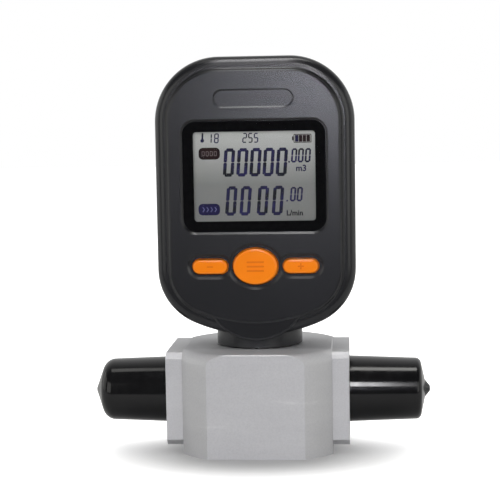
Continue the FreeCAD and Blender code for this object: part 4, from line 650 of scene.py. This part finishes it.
room_tree.links.new(room_ray.outputs["Is Camera Ray"], room_most.inputs[1])
room_tree.links.new(room_most.outputs["Value"], room_light.inputs["Strength"])

# Lamps: a small one above the camera that puts the soft shine on the top of the face, broad ones round
# the sides, and a matt fill in front and behind. The rest hang higher up and show only as streaks
# on the rims, round the keys and on the caps.
LAMP_AIM = Vector((0.0, 0.0, 0.07))
COOL_WHITE = (0.98, 0.975, 1.0)
BLUE_WHITE = (0.88, 0.88, 1.0)
WARM_WHITE = (1.0, 0.995, 0.955)


def soft_lamp(name, place, wide, high, watts, colour):
    """Rectangular lamp at place, turned towards the object."""
    lamp = bpy.data.lights.new(name, "AREA")
    lamp.shape = "RECTANGLE"
    lamp.size = wide
    lamp.size_y = high
    lamp.energy = watts
    lamp.color = colour
    stand = bpy.data.objects.new(name, lamp)
    stand.location = place
    stand.rotation_euler = (LAMP_AIM - Vector(place)).to_track_quat("-Z", "Y").to_euler()
    bpy.context.scene.collection.objects.link(stand)
    return stand


def fill_lamp(name, place, **setting):
    """Lamp that lights matt surfaces and isn't mirrored in glossy ones."""
    stand = soft_lamp(name, place, **setting)
    stand.visible_glossy = False
    stand.visible_transmission = False


def glint_lamp(name, place, **setting):
    """Lamp that is only mirrored in glossy surfaces."""
    stand = soft_lamp(name, place, **setting)
    stand.visible_diffuse = False


def outward(azimuth, elevation):
    """Direction away from the object; azimuth runs from the front to the right, both in degrees."""
    turn = math.radians(azimuth)
    rise = math.radians(elevation)
    level = math.cos(rise)
    return Vector((math.sin(turn) * level, -math.cos(turn) * level, math.sin(rise)))


def round_the_object(azimuth, elevation):
    """Place of a lamp one metre from the object, by its two angles in degrees."""
    return LAMP_AIM + outward(azimuth, elevation)


soft_lamp("key_lamp", (0.013, -1.0, 0.179), wide=0.04, high=0.04, watts=0.93, colour=BLUE_WHITE)
soft_lamp("right_lamp", round_the_object(38.0, 10.0), wide=0.6, high=0.6, watts=1.9, colour=WARM_WHITE)
soft_lamp("left_lamp", round_the_object(-38.0, 10.0), wide=0.6, high=0.6, watts=1.5, colour=WARM_WHITE)
soft_lamp("far_right_lamp", round_the_object(90.0, 8.0), wide=0.8, high=0.8, watts=1.6, colour=WARM_WHITE)
soft_lamp("far_left_lamp", round_the_object(-90.0, 8.0), wide=0.8, high=0.8, watts=1.8, colour=WARM_WHITE)
fill_lamp("front_lamp", round_the_object(0.0, 10.0), wide=0.3, high=0.3, watts=4.3, colour=COOL_WHITE)
fill_lamp("back_lamp", (0.0, 0.47, 0.95), wide=1.3, high=0.9, watts=8.0, colour=WARM_WHITE)
glint_lamp("overhead_lamp", (0.12, -0.12, 1.1), wide=0.4, high=0.18, watts=1.4, colour=WARM_WHITE)
glint_lamp("left_overhead_lamp", (-0.3, -0.12, 1.1), wide=0.25, high=0.18, watts=0.28, colour=WARM_WHITE)
glint_lamp("rim_lamp", (-0.065, -0.41, 1.03), wide=0.09, high=0.65, watts=3.0, colour=COOL_WHITE)
glint_lamp("low_rim_lamp", (-0.065, -0.87, 0.65), wide=0.09, high=0.55, watts=0.85, colour=COOL_WHITE)
glint_lamp("streak_lamp", (0.095, -0.88, 0.42), wide=0.05, high=0.24, watts=1.2, colour=COOL_WHITE)

# Camera: a long lens a little above the display and to its right, as the photograph was taken.
# Its focal length is written in pixels of the picture.
CAMERA_AZIMUTH = 4.345
CAMERA_ELEVATION = 5.511
CAMERA_ROLL = math.radians(-0.962)
CAMERA_DISTANCE = 507.8 * MM
CAMERA_TARGET = Vector((-3.071 * MM, 0.0, 69.461 * MM))
FOCUS_PIXELS = 1423.3
PICTURE_PIXELS = 500.0
SENSOR_WIDTH = 36.0
QUARTER_TURN = 90.0
back = outward(CAMERA_AZIMUTH, CAMERA_ELEVATION)
right = outward(CAMERA_AZIMUTH + QUARTER_TURN, 0.0)
up = back.cross(right)
rolled_right = math.cos(CAMERA_ROLL) * right + math.sin(CAMERA_ROLL) * up
rolled_up = math.cos(CAMERA_ROLL) * up - math.sin(CAMERA_ROLL) * right
lens = bpy.data.cameras.new("long_lens")
lens.sensor_fit = "HORIZONTAL"
lens.sensor_width = SENSOR_WIDTH
lens.lens = FOCUS_PIXELS / PICTURE_PIXELS * SENSOR_WIDTH
camera = bpy.data.objects.new("long_lens", lens)
bpy.context.scene.collection.objects.link(camera)
camera.matrix_world = (
    Matrix.Translation(CAMERA_TARGET + CAMERA_DISTANCE * back)
    @ Matrix((rolled_right, rolled_up, back)).transposed().to_4x4()
)
bpy.context.scene.camera = camera
bpy.context.scene.view_settings.view_transform = "Standard"
